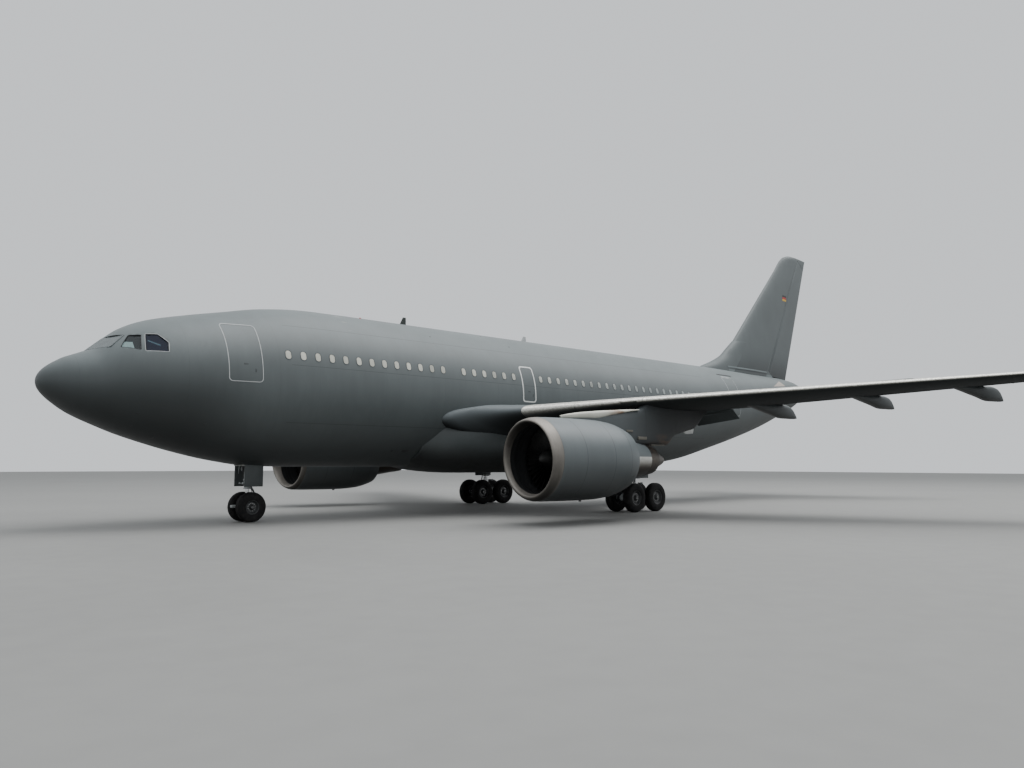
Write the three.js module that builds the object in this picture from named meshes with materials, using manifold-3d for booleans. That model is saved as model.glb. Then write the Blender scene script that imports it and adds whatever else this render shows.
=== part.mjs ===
// Twin-engine wide-body military transport plane, parked on its gear, as a 1:2 scale model.
// Millimetres, +Z up. The nose points to -X and the left wing to -Y.
// A station is a distance aft of a datum 110 mm ahead of the nose tip. A height is measured from the ground.
import * as THREE from 'three';
import { mergeVertices } from 'three/addons/utils/BufferGeometryUtils.js';
import Module from 'manifold-3d';

const wasm = await Module();
wasm.setup();

// Overall size and clearances
const LENGTH = 23330;
const NOSE_TIP = 110;
const TAIL_TIP = NOSE_TIP + LENGTH;
const FIT_GAP = 0.3;
const MOVING_GAP = 6;
const AROUND = 32;
const FAIRING_AROUND = 24;

// Fuselage: stations where the barrels meet, wall thickness, cabin floor
const RADOME_END = 560;
const NOSE_END = 4000;
const FORWARD_END = 8000;
const CENTRE_END = 12500;
const AFT_END = 17500;
const TAIL_END = 22550;
const SKIN = 60;
const FLOOR_HEIGHT = 2270;
const EXHAUST = { radius: 150, deep: 400, innerHeight: 3290, outerHeight: 3300 };

const FUSELAGE = [
  { station: 110, low: 2190, high: 2210, half: 12 },
  { station: 113, low: 2165, high: 2235, half: 42 },
  { station: 120, low: 2139, high: 2264, half: 76 },
  { station: 132, low: 2109, high: 2294, half: 113 },
  { station: 150, low: 2076, high: 2327, half: 152 },
  { station: 180, low: 2036, high: 2367, half: 201 },
  { station: 225, low: 1988, high: 2414, half: 257 },
  { station: 290, low: 1929, high: 2467, half: 322 },
  { station: 370, low: 1869, high: 2520, half: 387 },
  { station: 450, low: 1812, high: 2570, half: 450 },
  { station: 560, low: 1745, high: 2618, half: 530 },
  { station: 700, low: 1676, high: 2676, half: 618 },
  { station: 800, low: 1632, high: 2722, half: 682 },
  { station: 1035, low: 1535, high: 2940, half: 806 },
  { station: 1225, low: 1460, high: 3088, half: 898 },
  { station: 1575, low: 1345, high: 3252, half: 1035 },
  { station: 2200, low: 1170, high: 3414, half: 1210 },
  { station: 2800, low: 1040, high: 3540, half: 1320 },
  { station: 3500, low: 950, high: 3680, half: 1390 },
  { station: 4250, low: 940, high: 3750, half: 1410 },
  { station: 4800, low: 940, high: 3760, half: 1410 },
  { station: 13750, low: 940, high: 3760, half: 1410 },
  { station: 15250, low: 1080, high: 3760, half: 1360 },
  { station: 16850, low: 1400, high: 3760, half: 1225 },
  { station: 18200, low: 1700, high: 3750, half: 1050 },
  { station: 19600, low: 2050, high: 3735, half: 850 },
  { station: 21000, low: 2475, high: 3735, half: 610 },
  { station: 22000, low: 2810, high: 3685, half: 425 },
  { station: 22550, low: 3050, high: 3590, half: 250 },
];

// Belly fairing below the wing: centre height, half width and half height at each station
const FAIRING = [
  { station: 6450, centre: 1500, half: 1000, tall: 480 },
  { station: 7000, centre: 1480, half: 1370, tall: 610 },
  { station: 7900, centre: 1470, half: 1500, tall: 660 },
  { station: 11800, centre: 1470, half: 1500, tall: 660 },
  { station: 12500, centre: 1480, half: 1380, tall: 600 },
  { station: 13150, centre: 1500, half: 1000, tall: 500 },
];

// Wing, from inside the root fillet to the tip: span place, leading and trailing edge, thickness
const WING = [
  { span: 1150, lead: 6600, leadHeight: 1840, trail: 11780, trailHeight: 1575, thick: 606 },
  { span: 1400, lead: 6700, leadHeight: 1855, trail: 11800, trailHeight: 1575, thick: 606 },
  { span: 1530, lead: 7150, leadHeight: 1945, trail: 11805, trailHeight: 1582, thick: 573 },
  { span: 1740, lead: 7640, leadHeight: 1983, trail: 11815, trailHeight: 1610, thick: 512 },
  { span: 2065, lead: 7990, leadHeight: 2017, trail: 11840, trailHeight: 1661, thick: 435 },
  { span: 3950, lead: 9125, leadHeight: 2171, trail: 11950, trailHeight: 2120, thick: 238 },
  { span: 10960, lead: 13336, leadHeight: 2599, trail: 14430, trailHeight: 2603, thick: 85 },
];
const WING_TIP = 10975;

// Fence at the wingtip: rows of station and height
const TIP_FENCE = [
  [13440, 2620],
  [14240, 2975],
  [14500, 2975],
  [14560, 2590],
  [14420, 2230],
  [14190, 2230],
];
const FENCE_THICK = 30;

// Leading edge slats: span limits, and share of the chord that they take
const SLATS = [
  { name: 'slat_inboard', from: 2065, to: 3790, share: 0.13 },
  { name: 'slat_outboard', from: 4150, to: 10500, share: 0.14 },
];

// Flaps: plan corners of the straight front edge
const FLAPS = [
  { name: 'flap_inboard', from: [11050, 1540], to: [11322, 3335] },
  { name: 'flap_outboard', from: [11479, 4450], to: [13233, 8700] },
];

// Flap track fairings under the wing: front and aft ends in plan, depth of the underside
const TRACKS = [
  { front: [11000, 4960], aft: [12875, 5150], low: 1915 },
  { front: [11850, 6635], aft: [13485, 6880], low: 2060 },
  { front: [12650, 8165], aft: [14105, 8620], low: 2155 },
];
const TRACK_HALF = 75;

// Shape along a track fairing: share of its width, and how far its roof and floor have dropped to the low
const TRACK_SHAPE = [
  { share: 0, half: 0.1, roof: 0, floor: 0 },
  { share: 0.2, half: 0.85, roof: 0, floor: 0.25 },
  { share: 0.5, half: 1, roof: 0, floor: 0.7 },
  { share: 0.72, half: 1, roof: 0, floor: 1 },
  { share: 0.88, half: 0.7, roof: 0.17, floor: 1 },
  { share: 1, half: 0.14, roof: 0.85, floor: 0.95 },
];

// Aileron behind the engine, drooped as it hangs when the plane is parked
const AILERON = { from: [11500, 3425], to: [11640, 4375], droop: 28 };

// Fin and rudder: leading edge, trailing edge and thickness at each height
const FIN = [
  { height: 3600, lead: 17770, trail: 21853, thick: 440 },
  { height: 4640, lead: 18782, trail: 22237, thick: 385 },
  { height: 7275, lead: 21395, trail: 23209, thick: 210 },
  { height: 7810, lead: 21965, trail: 23407, thick: 170 },
  { height: 7900, lead: 22250, trail: 23440, thick: 120 },
];

// Fillet in front of the fin: rows of station and height
const FIN_FILLET = [
  [17070, 3780],
  [17600, 3965],
  [18160, 4205],
  [18410, 4390],
  [18840, 4700],
  [19200, 4900],
  [18600, 3700],
  [17070, 3700],
];
const FILLET_THICK = 90;
const RUDDER = { low: [20700, 3850], high: [22890, 7800], foot: [[20000, 3787], [TAIL_TIP, 3669]] };

// Tailplane and elevators
const TAILPLANE = [
  { span: 250, lead: 18722, trail: 21803, height: 3020, thick: 300 },
  { span: 950, lead: 19250, trail: 21950, height: 3100, thick: 270 },
  { span: 4065, lead: 21600, trail: 22600, height: 3450, thick: 90 },
];
const ELEVATOR = { from: 1150, to: 3930, share: 0.68 };

// Engines, with profiles as rows of station and radius
const ENGINE_SPAN = 3970;
const ENGINE_HEIGHT = 1075;
const ENGINE_FACETS = 24;
const CORE_FACETS = 20;
const BLADES = 38;
const FAN_STATION = 6880;
const VANES = 8;
const VANE = { station: 7350, chord: 110, thick: 12, root: 200 };
const DUCT_R = 593.5;
const NACELLE = [
  [6330, 670],
  [6700, 690],
  [7250, 690],
  [7700, 672],
  [8100, 620],
  [8500, 527],
  [8500, 515],
  [8100, 560],
  [7600, 592],
  [7100, 597],
  [6700, 597],
  [6450, 562],
  [6450, 640],
  [6330, 640],
];
const INLET_LIP = [
  [6329.7, 639.7],
  [6329.7, 669],
  [6262, 645],
  [6250, 625],
  [6270, 598],
  [6449.7, 562],
  [6449.7, 639.7],
];
const SPINNER = [
  [6600, 45],
  [6680, 115],
  [6828, 190],
];
const SPINNER_TIP = 6575;
const BLADE_ROOT_BACK = 6932;
const HUB_BACK = 6990;
const BLADE = { tipRadius: 581, tipChord: 165, tipThick: 5, tipStagger: 62, rootShare: 0.4 };
const CORE = [
  [6990.5, 0],
  [6990.5, 180],
  [7400, 310],
  [7800, 415],
  [8150, 422],
  [8500, 390],
  [9200, 293],
  [9450, 260],
  [9350, 235],
  [9350, 205],
  [9550, 180],
  [9920, 30],
  [9920, 0],
];

// Pylon: lowest and highest line and half width at each station
const PYLON = [
  { station: 7065, low: 1740, high: 1810, half: 12 },
  { station: 7350, low: 1715, high: 1850, half: 50 },
  { station: 7550, low: 1400, high: 1875, half: 70 },
  { station: 8150, low: 1380, high: 1930, half: 100 },
  { station: 8750, low: 1340, high: 1975, half: 120 },
  { station: 9140, low: 1340, high: 2010, half: 120 },
  { station: 9450, low: 1350, high: 2150, half: 118 },
  { station: 9950, low: 1345, high: 2200, half: 105 },
  { station: 10220, low: 1530, high: 2200, half: 88 },
  { station: 10650, low: 1642, high: 2200, half: 56 },
  { station: 10920, low: 1702, high: 2180, half: 36 },
  { station: 11160, low: 1870, high: 2150, half: 16 },
  { station: 11300, low: 1985, high: 2120, half: 8 },
  { station: 11380, low: 2050, high: 2110, half: 6 },
];

// Nose gear: pair of wheels on a steered strut
const NOSE_GEAR = { station: 3450, tyreRadius: 255, strutRadius: 38, strutTop: 700 };
const NOSE_HUB = { half: 55, radius: 62 };
const NOSE_COLLAR = { low: 560, radius: 62 };
const NOSE_LINK = { top: 620, knee: 480, foot: 330, near: 30, far: 150, half: 22 };
const NOSE_LEG = { radius: 68, braceRadius: 26, braceLow: 800, braceHigh: 1300, braceReach: 110 };
const NOSE_CROWN = { ahead: 150, behind: 190, half: 165, low: 1250 };
const NOSE_WELL = { from: 3290, to: 3650, half: 170, low: 800, top: 1350 };
const NOSE_DOOR = { from: 3300, to: 3640, low: 600, high: 1000, inner: 185, outer: 200 };
const NOSE_BORE_R = 30;

// Main gear: four-wheel bogie on each side
const MAIN_GEAR = { station: 11050, span: 2400, tyreRadius: 300, axleReach: 350 };
const BEAM = { half: 45, tall: 55, eyeHalf: 90, eyeRadius: 80, boreRadius: 50 };
const MAIN_STRUT = { radius: 52, high: 1700 };
const MAIN_CYLINDER = { radius: 80, low: 700, high: 1800 };
const SIDE_STAY = { radius: 34, low: 1000, high: 1500, span: 1480 };
const DRAG_STAY = { radius: 34, low: 820, high: 1750, reach: 500 };
const MAIN_LINK = { top: 800, knee: 580, foot: 400, near: 40, far: 200, half: 25 };
const MAIN_DOOR = { half: 260, inner: 120, outer: 145, low: 700, high: 1800 };
const DOOR_ARM = { half: 30, heights: [900, 1300], tall: 60 };
const WHEEL_FACETS = 16;

// Wheel pair profiles, from the outer side to the middle: distance along the axle, and radius
const MAIN_WHEEL = [
  [-325, 0],
  [-325, 150],
  [-337, 165],
  [-337, 245],
  [-300, 300],
  [-165, 300],
  [-128, 245],
  [-128, 150],
  [-145, 50],
];
const NOSE_WHEEL = [
  [-222, 0],
  [-222, 115],
  [-232, 130],
  [-232, 205],
  [-205, 255],
  [-97, 255],
  [-70, 205],
  [-70, 115],
  [-82, 30],
];

// Cockpit windows, right side: corners as station, distance from the middle and height
const WINDSCREEN = [
  [790, 30, 2716],
  [1020, 30, 2916],
  [1169, 473, 2919],
  [980, 502, 2731],
];
const SIDE_WINDOW = [
  [1077, 622, 2725],
  [1207, 515, 2925],
  [1360, 632, 2931],
  [1312, 820, 2683],
];
const AFT_WINDOW = [
  [1366, 853, 2672],
  [1413, 650, 2948],
  [1562, 742, 2955],
  [1679, 902, 2818],
  [1661, 978, 2672],
];

// Glazing band behind the window posts, as distances out from the skin
const GLASS_OUTER = -16;
const GLASS_INNER = -46;

// Flight deck: room, sunk foot of its fittings, instrument panel, pedestal and seats
const DECK_FROM = 760;
const DECK_TO = 2250;
const DECK_FLOOR = 2225;
const DECK_SUNK = 2240;
const PANEL_HALF = 700;
const PANEL_SIDE = [
  [840, 2240],
  [1010, 2240],
  [930, 2600],
  [840, 2620],
];
const PEDESTAL = { from: 1000, to: 1500, half: 90, high: 2420 };
const SEAT = {
  span: 265,
  half: 120,
  postHalf: 60,
  post: { from: 1300, to: 1370 },
  cushion: { from: 1180, to: 1440, low: 2400, high: 2460 },
  back: [
    [1400, 2440],
    [1460, 2440],
    [1540, 2860],
    [1490, 2870],
  ],
};

// Passenger doors and over-wing exits, on both sides: station limits and height limits
const DOORS = [
  { name: 'door_front', from: 2482, to: 3018, low: 2270, high: 3235 },
  { name: 'exit_overwing', from: 8690, to: 9040, low: 2265, high: 2995 },
  { name: 'door_rear', from: 16710, to: 17270, low: 2320, high: 3370 },
];

// Lower cargo doors and the holds behind them, on the right side
const CARGO_DOORS = [
  { name: 'cargo_door_front', from: 4450, to: 5795, low: 1190, high: 1990 },
  { name: 'cargo_door_rear', from: 13500, to: 14405, low: 1210, high: 1990 },
];
const CARGO_DOOR_THICK = 55;
const CARGO_PIN = { radius: 10, proud: 7, rooted: 30, gap: 0.7 };
const HOLD_REACH = -650;

// Flat faces that other equipment meets: jacking pads and the tow lug
const PAD_R = 60;
const NOSE_PAD = { station: 1500, face: 1320, top: 1400 };
const WING_PAD = { station: 10300, span: 3650, face: 1925, top: 2150 };
const TOW_LUG = { front: 3160, back: 3410, half: 30, low: 240, high: 300 };

const GREY = { color: 0x6f777c, roughness: 0.55, metalness: 0.1 };
const DARK_GREY = { color: 0x4a5054, roughness: 0.6, metalness: 0.1 };
const BARE_METAL = { color: 0xb9b7b0, roughness: 0.35, metalness: 0.9 };
const DARK_METAL = { color: 0x3a3c3e, roughness: 0.45, metalness: 0.8 };
const GLASS = { color: 0x4a6a70, roughness: 0.1, metalness: 0.0 };
const INSIDE = { color: 0x3c4246, roughness: 0.8, metalness: 0.0 };
const TYRE = { color: 0x1d1e1f, roughness: 0.9, metalness: 0.0 };
const STRUT = { color: 0x9a9fa2, roughness: 0.4, metalness: 0.6 };

const plane = new THREE.Group();

// Place of a station along X
const at = (station) => station - NOSE_TIP - LENGTH / 2;

const point = (station, y, z) => new THREE.Vector3(at(station), y, z);

function signedVolume(positions, triangles) {
  let volume = 0;
  const [a, b, c] = [new THREE.Vector3(), new THREE.Vector3(), new THREE.Vector3()];
  for (let i = 0; i < triangles.length; i += 3) {
    a.fromArray(positions, triangles[i] * 3);
    b.fromArray(positions, triangles[i + 1] * 3);
    c.fromArray(positions, triangles[i + 2] * 3);
    volume += a.dot(b.cross(c)) / 6;
  }
  return volume;
}

// Closed geometry as a solid that can be joined and cut
function solidOf(geometry) {
  const bare = new THREE.BufferGeometry();
  bare.setAttribute('position', geometry.attributes.position);
  if (geometry.index) bare.setIndex(geometry.index);
  const merged = mergeVertices(bare, 1e-3);
  const corners = merged.index.array;
  const triangles = [];
  for (let i = 0; i < corners.length; i += 3) {
    const [a, b, c] = [corners[i], corners[i + 1], corners[i + 2]];
    if (a !== b && b !== c && c !== a) triangles.push(a, b, c);
  }
  const positions = Float32Array.from(merged.attributes.position.array);
  if (signedVolume(positions, triangles) < 0) triangles.reverse();
  const triVerts = Uint32Array.from(triangles);
  return new wasm.Manifold(new wasm.Mesh({ numProp: 3, vertProperties: positions, triVerts }));
}

function geometryOf(solid, mirror = false) {
  const mesh = solid.getMesh();
  const positions = Float32Array.from(mesh.vertProperties);
  const corners = Array.from(mesh.triVerts);
  if (mirror) {
    for (let i = 1; i < positions.length; i += 3) positions[i] = -positions[i];
    corners.reverse();
  }
  const geometry = new THREE.BufferGeometry();
  geometry.setAttribute('position', new THREE.BufferAttribute(positions, 3));
  geometry.setIndex(corners);
  geometry.computeVertexNormals();
  return geometry;
}

function add(name, geometry, finish, parent = plane) {
  const mesh = new THREE.Mesh(geometry, new THREE.MeshStandardMaterial(finish));
  mesh.name = name;
  parent.add(mesh);
  return mesh;
}

// One piece on the middle or on the right, and a pair of mirrored pieces
const addSolid = (name, solid, finish) => add(name, geometryOf(solid), finish);

function addPair(name, solid, finish) {
  add(`${name}_right`, geometryOf(solid), finish);
  add(`${name}_left`, geometryOf(solid, true), finish);
}

// Triangles that close a ring of points, in the order of the ring
function capTriangles(ring) {
  const normal = new THREE.Vector3();
  ring.forEach((p, i) => normal.add(p.clone().cross(ring[(i + 1) % ring.length])));
  const steepest = Math.max(...normal.toArray().map(Math.abs));
  const [u, v] = ['x', 'y', 'z'].filter((axis) => Math.abs(normal[axis]) < steepest);
  const outline = ring.map((p) => new THREE.Vector2(p[u], p[v]));
  const turn = Math.sign(THREE.ShapeUtils.area(outline));
  return THREE.ShapeUtils.triangulateShape(outline, []).map(([a, b, c]) => {
    const sign = Math.sign(THREE.ShapeUtils.area([outline[a], outline[b], outline[c]]));
    return sign === turn ? [a, b, c] : [a, c, b];
  });
}

// Closed solid through rings of equally many points, its facets split alike on the left and the right
function loft(rings) {
  const count = rings[0].length;
  const positions = rings.flat().flatMap((p) => [p.x, p.y, p.z]);
  const corners = [];
  for (let r = 0; r + 1 < rings.length; r += 1) {
    for (let i = 0; i < count; i += 1) {
      const next = (i + 1) % count;
      const [a, b] = [r * count + i, r * count + next];
      const left = rings[r][i].y + rings[r][next].y < 0;
      if (left) corners.push(a, b, a + count, b, b + count, a + count);
      else corners.push(a, b, b + count, a, b + count, a + count);
    }
  }
  const last = (rings.length - 1) * count;
  capTriangles(rings[0]).forEach(([a, b, c]) => corners.push(a, c, b));
  capTriangles(rings[rings.length - 1]).forEach(([a, b, c]) => corners.push(last + a, last + b, last + c));
  const geometry = new THREE.BufferGeometry();
  geometry.setAttribute('position', new THREE.Float32BufferAttribute(positions, 3));
  geometry.setIndex(corners);
  return solidOf(geometry);
}

// Prism over flat corners, reaching before and after them along a direction
function prism(corners, direction, before, after) {
  const move = (distance) => corners.map((p) => p.clone().addScaledVector(direction, distance));
  return loft([move(-before), move(after)]);
}

const UP = new THREE.Vector3(0, 0, 1);
const ACROSS = new THREE.Vector3(0, 1, 0);
const BACK = new THREE.Vector3(1, 0, 0);

// Upright prism over plan corners given as station and span
function planPrism(corners, low = 0, high = 4000) {
  return prism(corners.map(([station, span]) => point(station, span, 0)), UP, -low, high);
}

// Prism across the plane over corners given as station and height
function sidePrism(corners, from, to) {
  return prism(corners.map(([station, height]) => point(station, 0, height)), ACROSS, -from, to);
}

function block(stations, spans, heights) {
  const [x0, x1] = stations;
  const [z0, z1] = heights;
  return sidePrism([[x0, z0], [x1, z0], [x1, z1], [x0, z1]], spans[0], spans[1]);
}

// Turned geometry: profile of distance along the axis and radius
function turned(profile, facets, axis, phase = 0) {
  const outline = profile.map(([along, radius]) => new THREE.Vector2(radius, along));
  const closed = profile[0][1] > 0;
  if (closed) outline.push(outline[0].clone());
  const geometry = new THREE.LatheGeometry(outline, facets, phase, Math.PI * 2);
  if (axis === 'x') geometry.rotateZ(-Math.PI / 2);
  if (axis === 'z') geometry.rotateX(Math.PI / 2);
  return geometry;
}

// Rod with a round section between two places
function rod(from, to, radius, endRadius = radius, facets = 10) {
  const length = from.distanceTo(to);
  const geometry = new THREE.CylinderGeometry(endRadius, radius, length, facets);
  geometry.translate(0, length / 2, 0);
  const direction = to.clone().sub(from).normalize();
  geometry.applyQuaternion(new THREE.Quaternion().setFromUnitVectors(ACROSS, direction));
  geometry.translate(from.x, from.y, from.z);
  return solidOf(geometry);
}

const mix = (a, b, share) => a + (b - a) * share;

// Row of a table between its rows, along the named column
function rowAt(table, column, value) {
  const next = Math.max(1, table.findIndex((row) => row[column] >= value));
  const [a, b] = [table[next - 1], table[next]];
  const share = (value - a[column]) / (b[column] - a[column]);
  return Object.fromEntries(Object.keys(a).map((key) => [key, mix(a[key], b[key], share)]));
}

function rowsBetween(table, column, from, to) {
  const inner = table.filter((row) => row[column] > from && row[column] < to);
  return [rowAt(table, column, from), ...inner, rowAt(table, column, to)];
}

// Loft through rows of the fuselage table, its skin moved out by grow
function barrelLoft(rows, grow, around) {
  return loft(rows.map(({ station, low, high, half }) => {
    const ring = [];
    for (let i = 0; i < around; i += 1) {
      const angle = (i * 2 * Math.PI) / around;
      const height = (low + high) / 2 + ((high - low) / 2 + grow) * Math.sin(angle);
      ring.push(point(station, (half + grow) * Math.cos(angle), height));
    }
    return ring;
  }));
}

function fuselage(from, to, grow = 0) {
  return barrelLoft(rowsBetween(FUSELAGE, 'station', from, to), grow, AROUND);
}

function bellyFairing(grow = 0) {
  const squareness = 2 / 2.6;
  const bow = (value) => Math.sign(value) * Math.abs(value) ** squareness;
  return loft(FAIRING.map(({ station, centre, half, tall }) => {
    const ring = [];
    for (let i = 0; i < FAIRING_AROUND; i += 1) {
      const angle = (i * 2 * Math.PI) / FAIRING_AROUND;
      const height = centre + (tall + grow) * bow(Math.sin(angle));
      ring.push(point(station, (half + grow) * bow(Math.cos(angle)), height));
    }
    return ring;
  }));
}

// Half thickness of the aerofoil at a share of the chord, for a thickness of one
function halfThickness(share) {
  const curve = 0.2969 * Math.sqrt(share) - 0.126 * share - 0.3516 * share ** 2
    + 0.2843 * share ** 3 - 0.1015 * share ** 4;
  return 5 * curve;
}

const CHORD_STEPS = 8;

// Ring of points round an aerofoil between a leading and a trailing point
function aerofoil(lead, trail, thick, upward, grow) {
  const chord = trail.clone().sub(lead);
  const out = chord.clone().normalize().multiplyScalar(grow);
  const [front, back] = [lead.clone().sub(out), trail.clone().add(out)];
  const ring = [];
  for (let i = -CHORD_STEPS; i <= CHORD_STEPS; i += 1) {
    const share = 0.5 - 0.5 * Math.cos((Math.abs(i) * Math.PI) / CHORD_STEPS);
    const side = i < 0 ? 1 : -1;
    const rise = side * (halfThickness(share) * thick + (i === 0 ? 0 : grow));
    ring.push(front.clone().lerp(back, share).addScaledVector(upward, rise));
  }
  return ring;
}

const wingRow = (span) => rowAt(WING, 'span', span);

// Point on the wing's middle surface at a span and a share of the chord
function wingPoint(span, share) {
  const { lead, leadHeight, trail, trailHeight } = wingRow(span);
  return point(mix(lead, trail, share), span, mix(leadHeight, trailHeight, share));
}

function wing(grow = 0) {
  return loft(WING.map(({ span, lead, leadHeight, trail, trailHeight, thick }) => aerofoil(
    point(lead, span, leadHeight),
    point(trail, span, trailHeight),
    thick,
    UP,
    grow,
  )));
}

// Hinge line between two points, for a control surface with a round nose
function hingeLine(from, to, radiusFrom, radiusTo) {
  const direction = to.clone().sub(from).normalize();
  return { from, to, direction, radiusFrom, radiusTo };
}

// Splits a solid at a hinge line into a fixed part, with a pivot pin at each end, and a moving part
function splitAtHinge(solid, hinge, backward) {
  const { from, to, direction, radiusFrom, radiusTo } = hinge;
  const aft = backward.clone().addScaledVector(direction, -backward.dot(direction)).normalize();
  const normal = direction.clone().cross(aft);
  const reach = 3000;
  const inset = (gap) => [
    from.clone().addScaledVector(direction, gap),
    to.clone().addScaledVector(direction, -gap),
  ];
  const region = (gap, slots) => {
    const front = inset(gap).map((end, i) => end.addScaledVector(aft, -slots[i]));
    const back = front.map((end) => end.clone().addScaledVector(aft, reach));
    return prism([front[0], front[1], back[1], back[0]], normal, reach, reach);
  };
  const nose = rod(...inset(MOVING_GAP), radiusFrom, radiusTo, 12);
  const slots = [radiusFrom + MOVING_GAP, radiusTo + MOVING_GAP];
  const pinEnds = [inset(-4), inset(MOVING_GAP - FIT_GAP)];
  const pins = [0, 1].map((end) => rod(pinEnds[0][end], pinEnds[1][end], radiusTo / 2));
  const fixed = solid.subtract(region(0, slots)).add(union(pins));
  const moving = solid.intersect(region(MOVING_GAP, [0, 0])).add(nose);
  return { fixed, moving };
}

// Fuselage barrels, doors and holds

const doorPrism = ({ from, to, low, high }, gap) => block(
  [from - gap, to + gap],
  [0, 2000],
  [low - gap, high + gap],
);

// Patch of the wall at a door, down to a depth; a cutter also stands proud of the skin
function wallPatch({ from, to, low, high }, gap, depth, proud = 0) {
  const shell = fuselage(from - 200, to + 200, proud)
    .subtract(fuselage(from - 300, to + 300, -depth));
  return shell.intersect(doorPrism({ from, to, low, high }, gap));
}

function withoutDoors(barrel, doors) {
  return doors.reduce((rest, door) => {
    const pocket = wallPatch(door, FIT_GAP, SKIN + FIT_GAP, 5);
    const mirrored = solidOf(geometryOf(pocket, true));
    return rest.subtract(pocket).subtract(mirrored);
  }, barrel);
}

const [frontDoor, overwingExit, rearDoor] = DOORS;

// Place on the skin's facets, on the right, at a station and a height
function skinPoint(station, height) {
  const { low, high, half } = rowAt(FUSELAGE, 'station', station);
  const ring = [...Array(AROUND / 4 + 1).keys()].map((i) => {
    const angle = (i * 2 * Math.PI) / AROUND;
    return { span: half * Math.cos(angle), height: (low + high) / 2 - ((high - low) / 2) * Math.sin(angle) };
  });
  const next = ring.findIndex((place) => place.height <= height);
  const share = (height - ring[next - 1].height) / (ring[next].height - ring[next - 1].height);
  return point(station, mix(ring[next - 1].span, ring[next].span, share), height);
}

// Hinge line of a cargo door along the top edge of its leaf, just proud of the skin
function cargoHinge({ from, to, high }) {
  const [start, end] = [from + MOVING_GAP, to - MOVING_GAP]
    .map((station) => skinPoint(station, high - MOVING_GAP).addScaledVector(ACROSS, CARGO_PIN.proud));
  return { start, end, direction: end.clone().sub(start).normalize() };
}

// A hold is cut behind its door. The door leaves the moving gap all round and hangs on two pins.
function withHold(barrel, door) {
  const hold = block([door.from + 60, door.to - 60], [HOLD_REACH, 1200], [1180, 2050]);
  const inner = fuselage(door.from, door.to, -SKIN - CARGO_DOOR_THICK);
  const doorway = wallPatch(door, 0, 400, 5);
  const { start, end } = cargoHinge(door);
  const pin = (leafEnd, outward) => rod(
    leafEnd.clone().addScaledVector(BACK, outward * CARGO_PIN.gap),
    leafEnd.clone().addScaledVector(BACK, outward * (MOVING_GAP + CARGO_PIN.rooted)),
    CARGO_PIN.radius,
  );
  return barrel.subtract(hold.intersect(inner)).subtract(doorway).add(pin(start, -1)).add(pin(end, 1));
}

function cargoDoor(door) {
  const { from, to, low, high } = door;
  const leaf = {
    from: from + MOVING_GAP,
    to: to - MOVING_GAP,
    low: low + MOVING_GAP,
    high: high - MOVING_GAP,
  };
  return wallPatch(leaf, 0, CARGO_DOOR_THICK);
}

// Cockpit windows: corners on the right, and their mirror images on the left
const corner = ([station, y, z]) => point(station, y, z);
const flip = ([station, y, z]) => [station, -y, z];

function towardsCentre(corners, distance) {
  const centre = corners.reduce((sum, p) => sum.add(p), new THREE.Vector3());
  centre.divideScalar(corners.length);
  return corners.map((p) => {
    const inward = centre.clone().sub(p).normalize();
    return p.clone().addScaledVector(inward, distance);
  });
}

function panePrism(outline, shrink) {
  const corners = towardsCentre(outline.map(corner), shrink);
  const [a, b, c] = [corners[0], corners[1], corners[2]];
  const direction = b.clone().sub(a).cross(c.clone().sub(a)).normalize();
  return prism(corners, direction, 260, 260);
}

const RIGHT_PANES = [WINDSCREEN, SIDE_WINDOW, AFT_WINDOW];
const PANES = [...RIGHT_PANES, ...RIGHT_PANES.map((outline) => outline.map(flip))];

// Posts between the panes, from the edge of one to the edge of the next
const POSTS = [
  [WINDSCREEN[0], WINDSCREEN[1], flip(WINDSCREEN[1]), flip(WINDSCREEN[0])],
  [WINDSCREEN[3], WINDSCREEN[2], SIDE_WINDOW[1], SIDE_WINDOW[0]],
  [SIDE_WINDOW[3], SIDE_WINDOW[2], AFT_WINDOW[1], AFT_WINDOW[0]],
];
const ALL_POSTS = [...POSTS, ...POSTS.slice(1).map((outline) => outline.map(flip))];

const union = (solids) => solids.reduce((sum, solid) => sum.add(solid));

// Space inside the skin round the flight deck
function flightDeckRoom(inset) {
  const stations = [DECK_FROM + inset, 1035, 1575, DECK_TO - inset];
  const rows = stations.map((station) => rowAt(FUSELAGE, 'station', station));
  return barrelLoft(rows, -SKIN - inset, AROUND / 2);
}

// The glazing is one band that lies behind the window posts and shows through the cut windows
function buildNose() {
  const aboveFloor = block([DECK_FROM - 10, DECK_TO + 10], [-2000, 2000], [DECK_FLOOR, 4000]);
  const cavity = flightDeckRoom(0).intersect(aboveFloor);
  const windows = union(PANES.map((outline) => panePrism(outline, 0)));
  const frames = (grow) => union([...PANES, ...ALL_POSTS].map((outline) => panePrism(outline, -grow)));
  const shell = (outer, inner) => fuselage(600, 2150, outer).subtract(fuselage(590, 2160, inner));
  const glazing = shell(GLASS_OUTER, GLASS_INNER).intersect(frames(20));
  const seat = shell(GLASS_OUTER + FIT_GAP, -120).intersect(frames(20 + 2 * FIT_GAP));
  const { from, to, half, low } = NOSE_WELL;
  const well = block([from, to], [-half, half], [low, NOSE_WELL.top]);
  const cuts = union([cavity, windows.intersect(shell(20, GLASS_INNER)), seat, well]);
  const { station, face, top } = NOSE_PAD;
  const pad = rod(point(station, 0, face), point(station, 0, top), PAD_R);
  const nose = withoutDoors(fuselage(RADOME_END + FIT_GAP, NOSE_END).subtract(cuts), [frontDoor]);
  addSolid('nose_section', nose.add(pad), GREY);
  addSolid('cockpit_glazing', glazing, GLASS);
}

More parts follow.
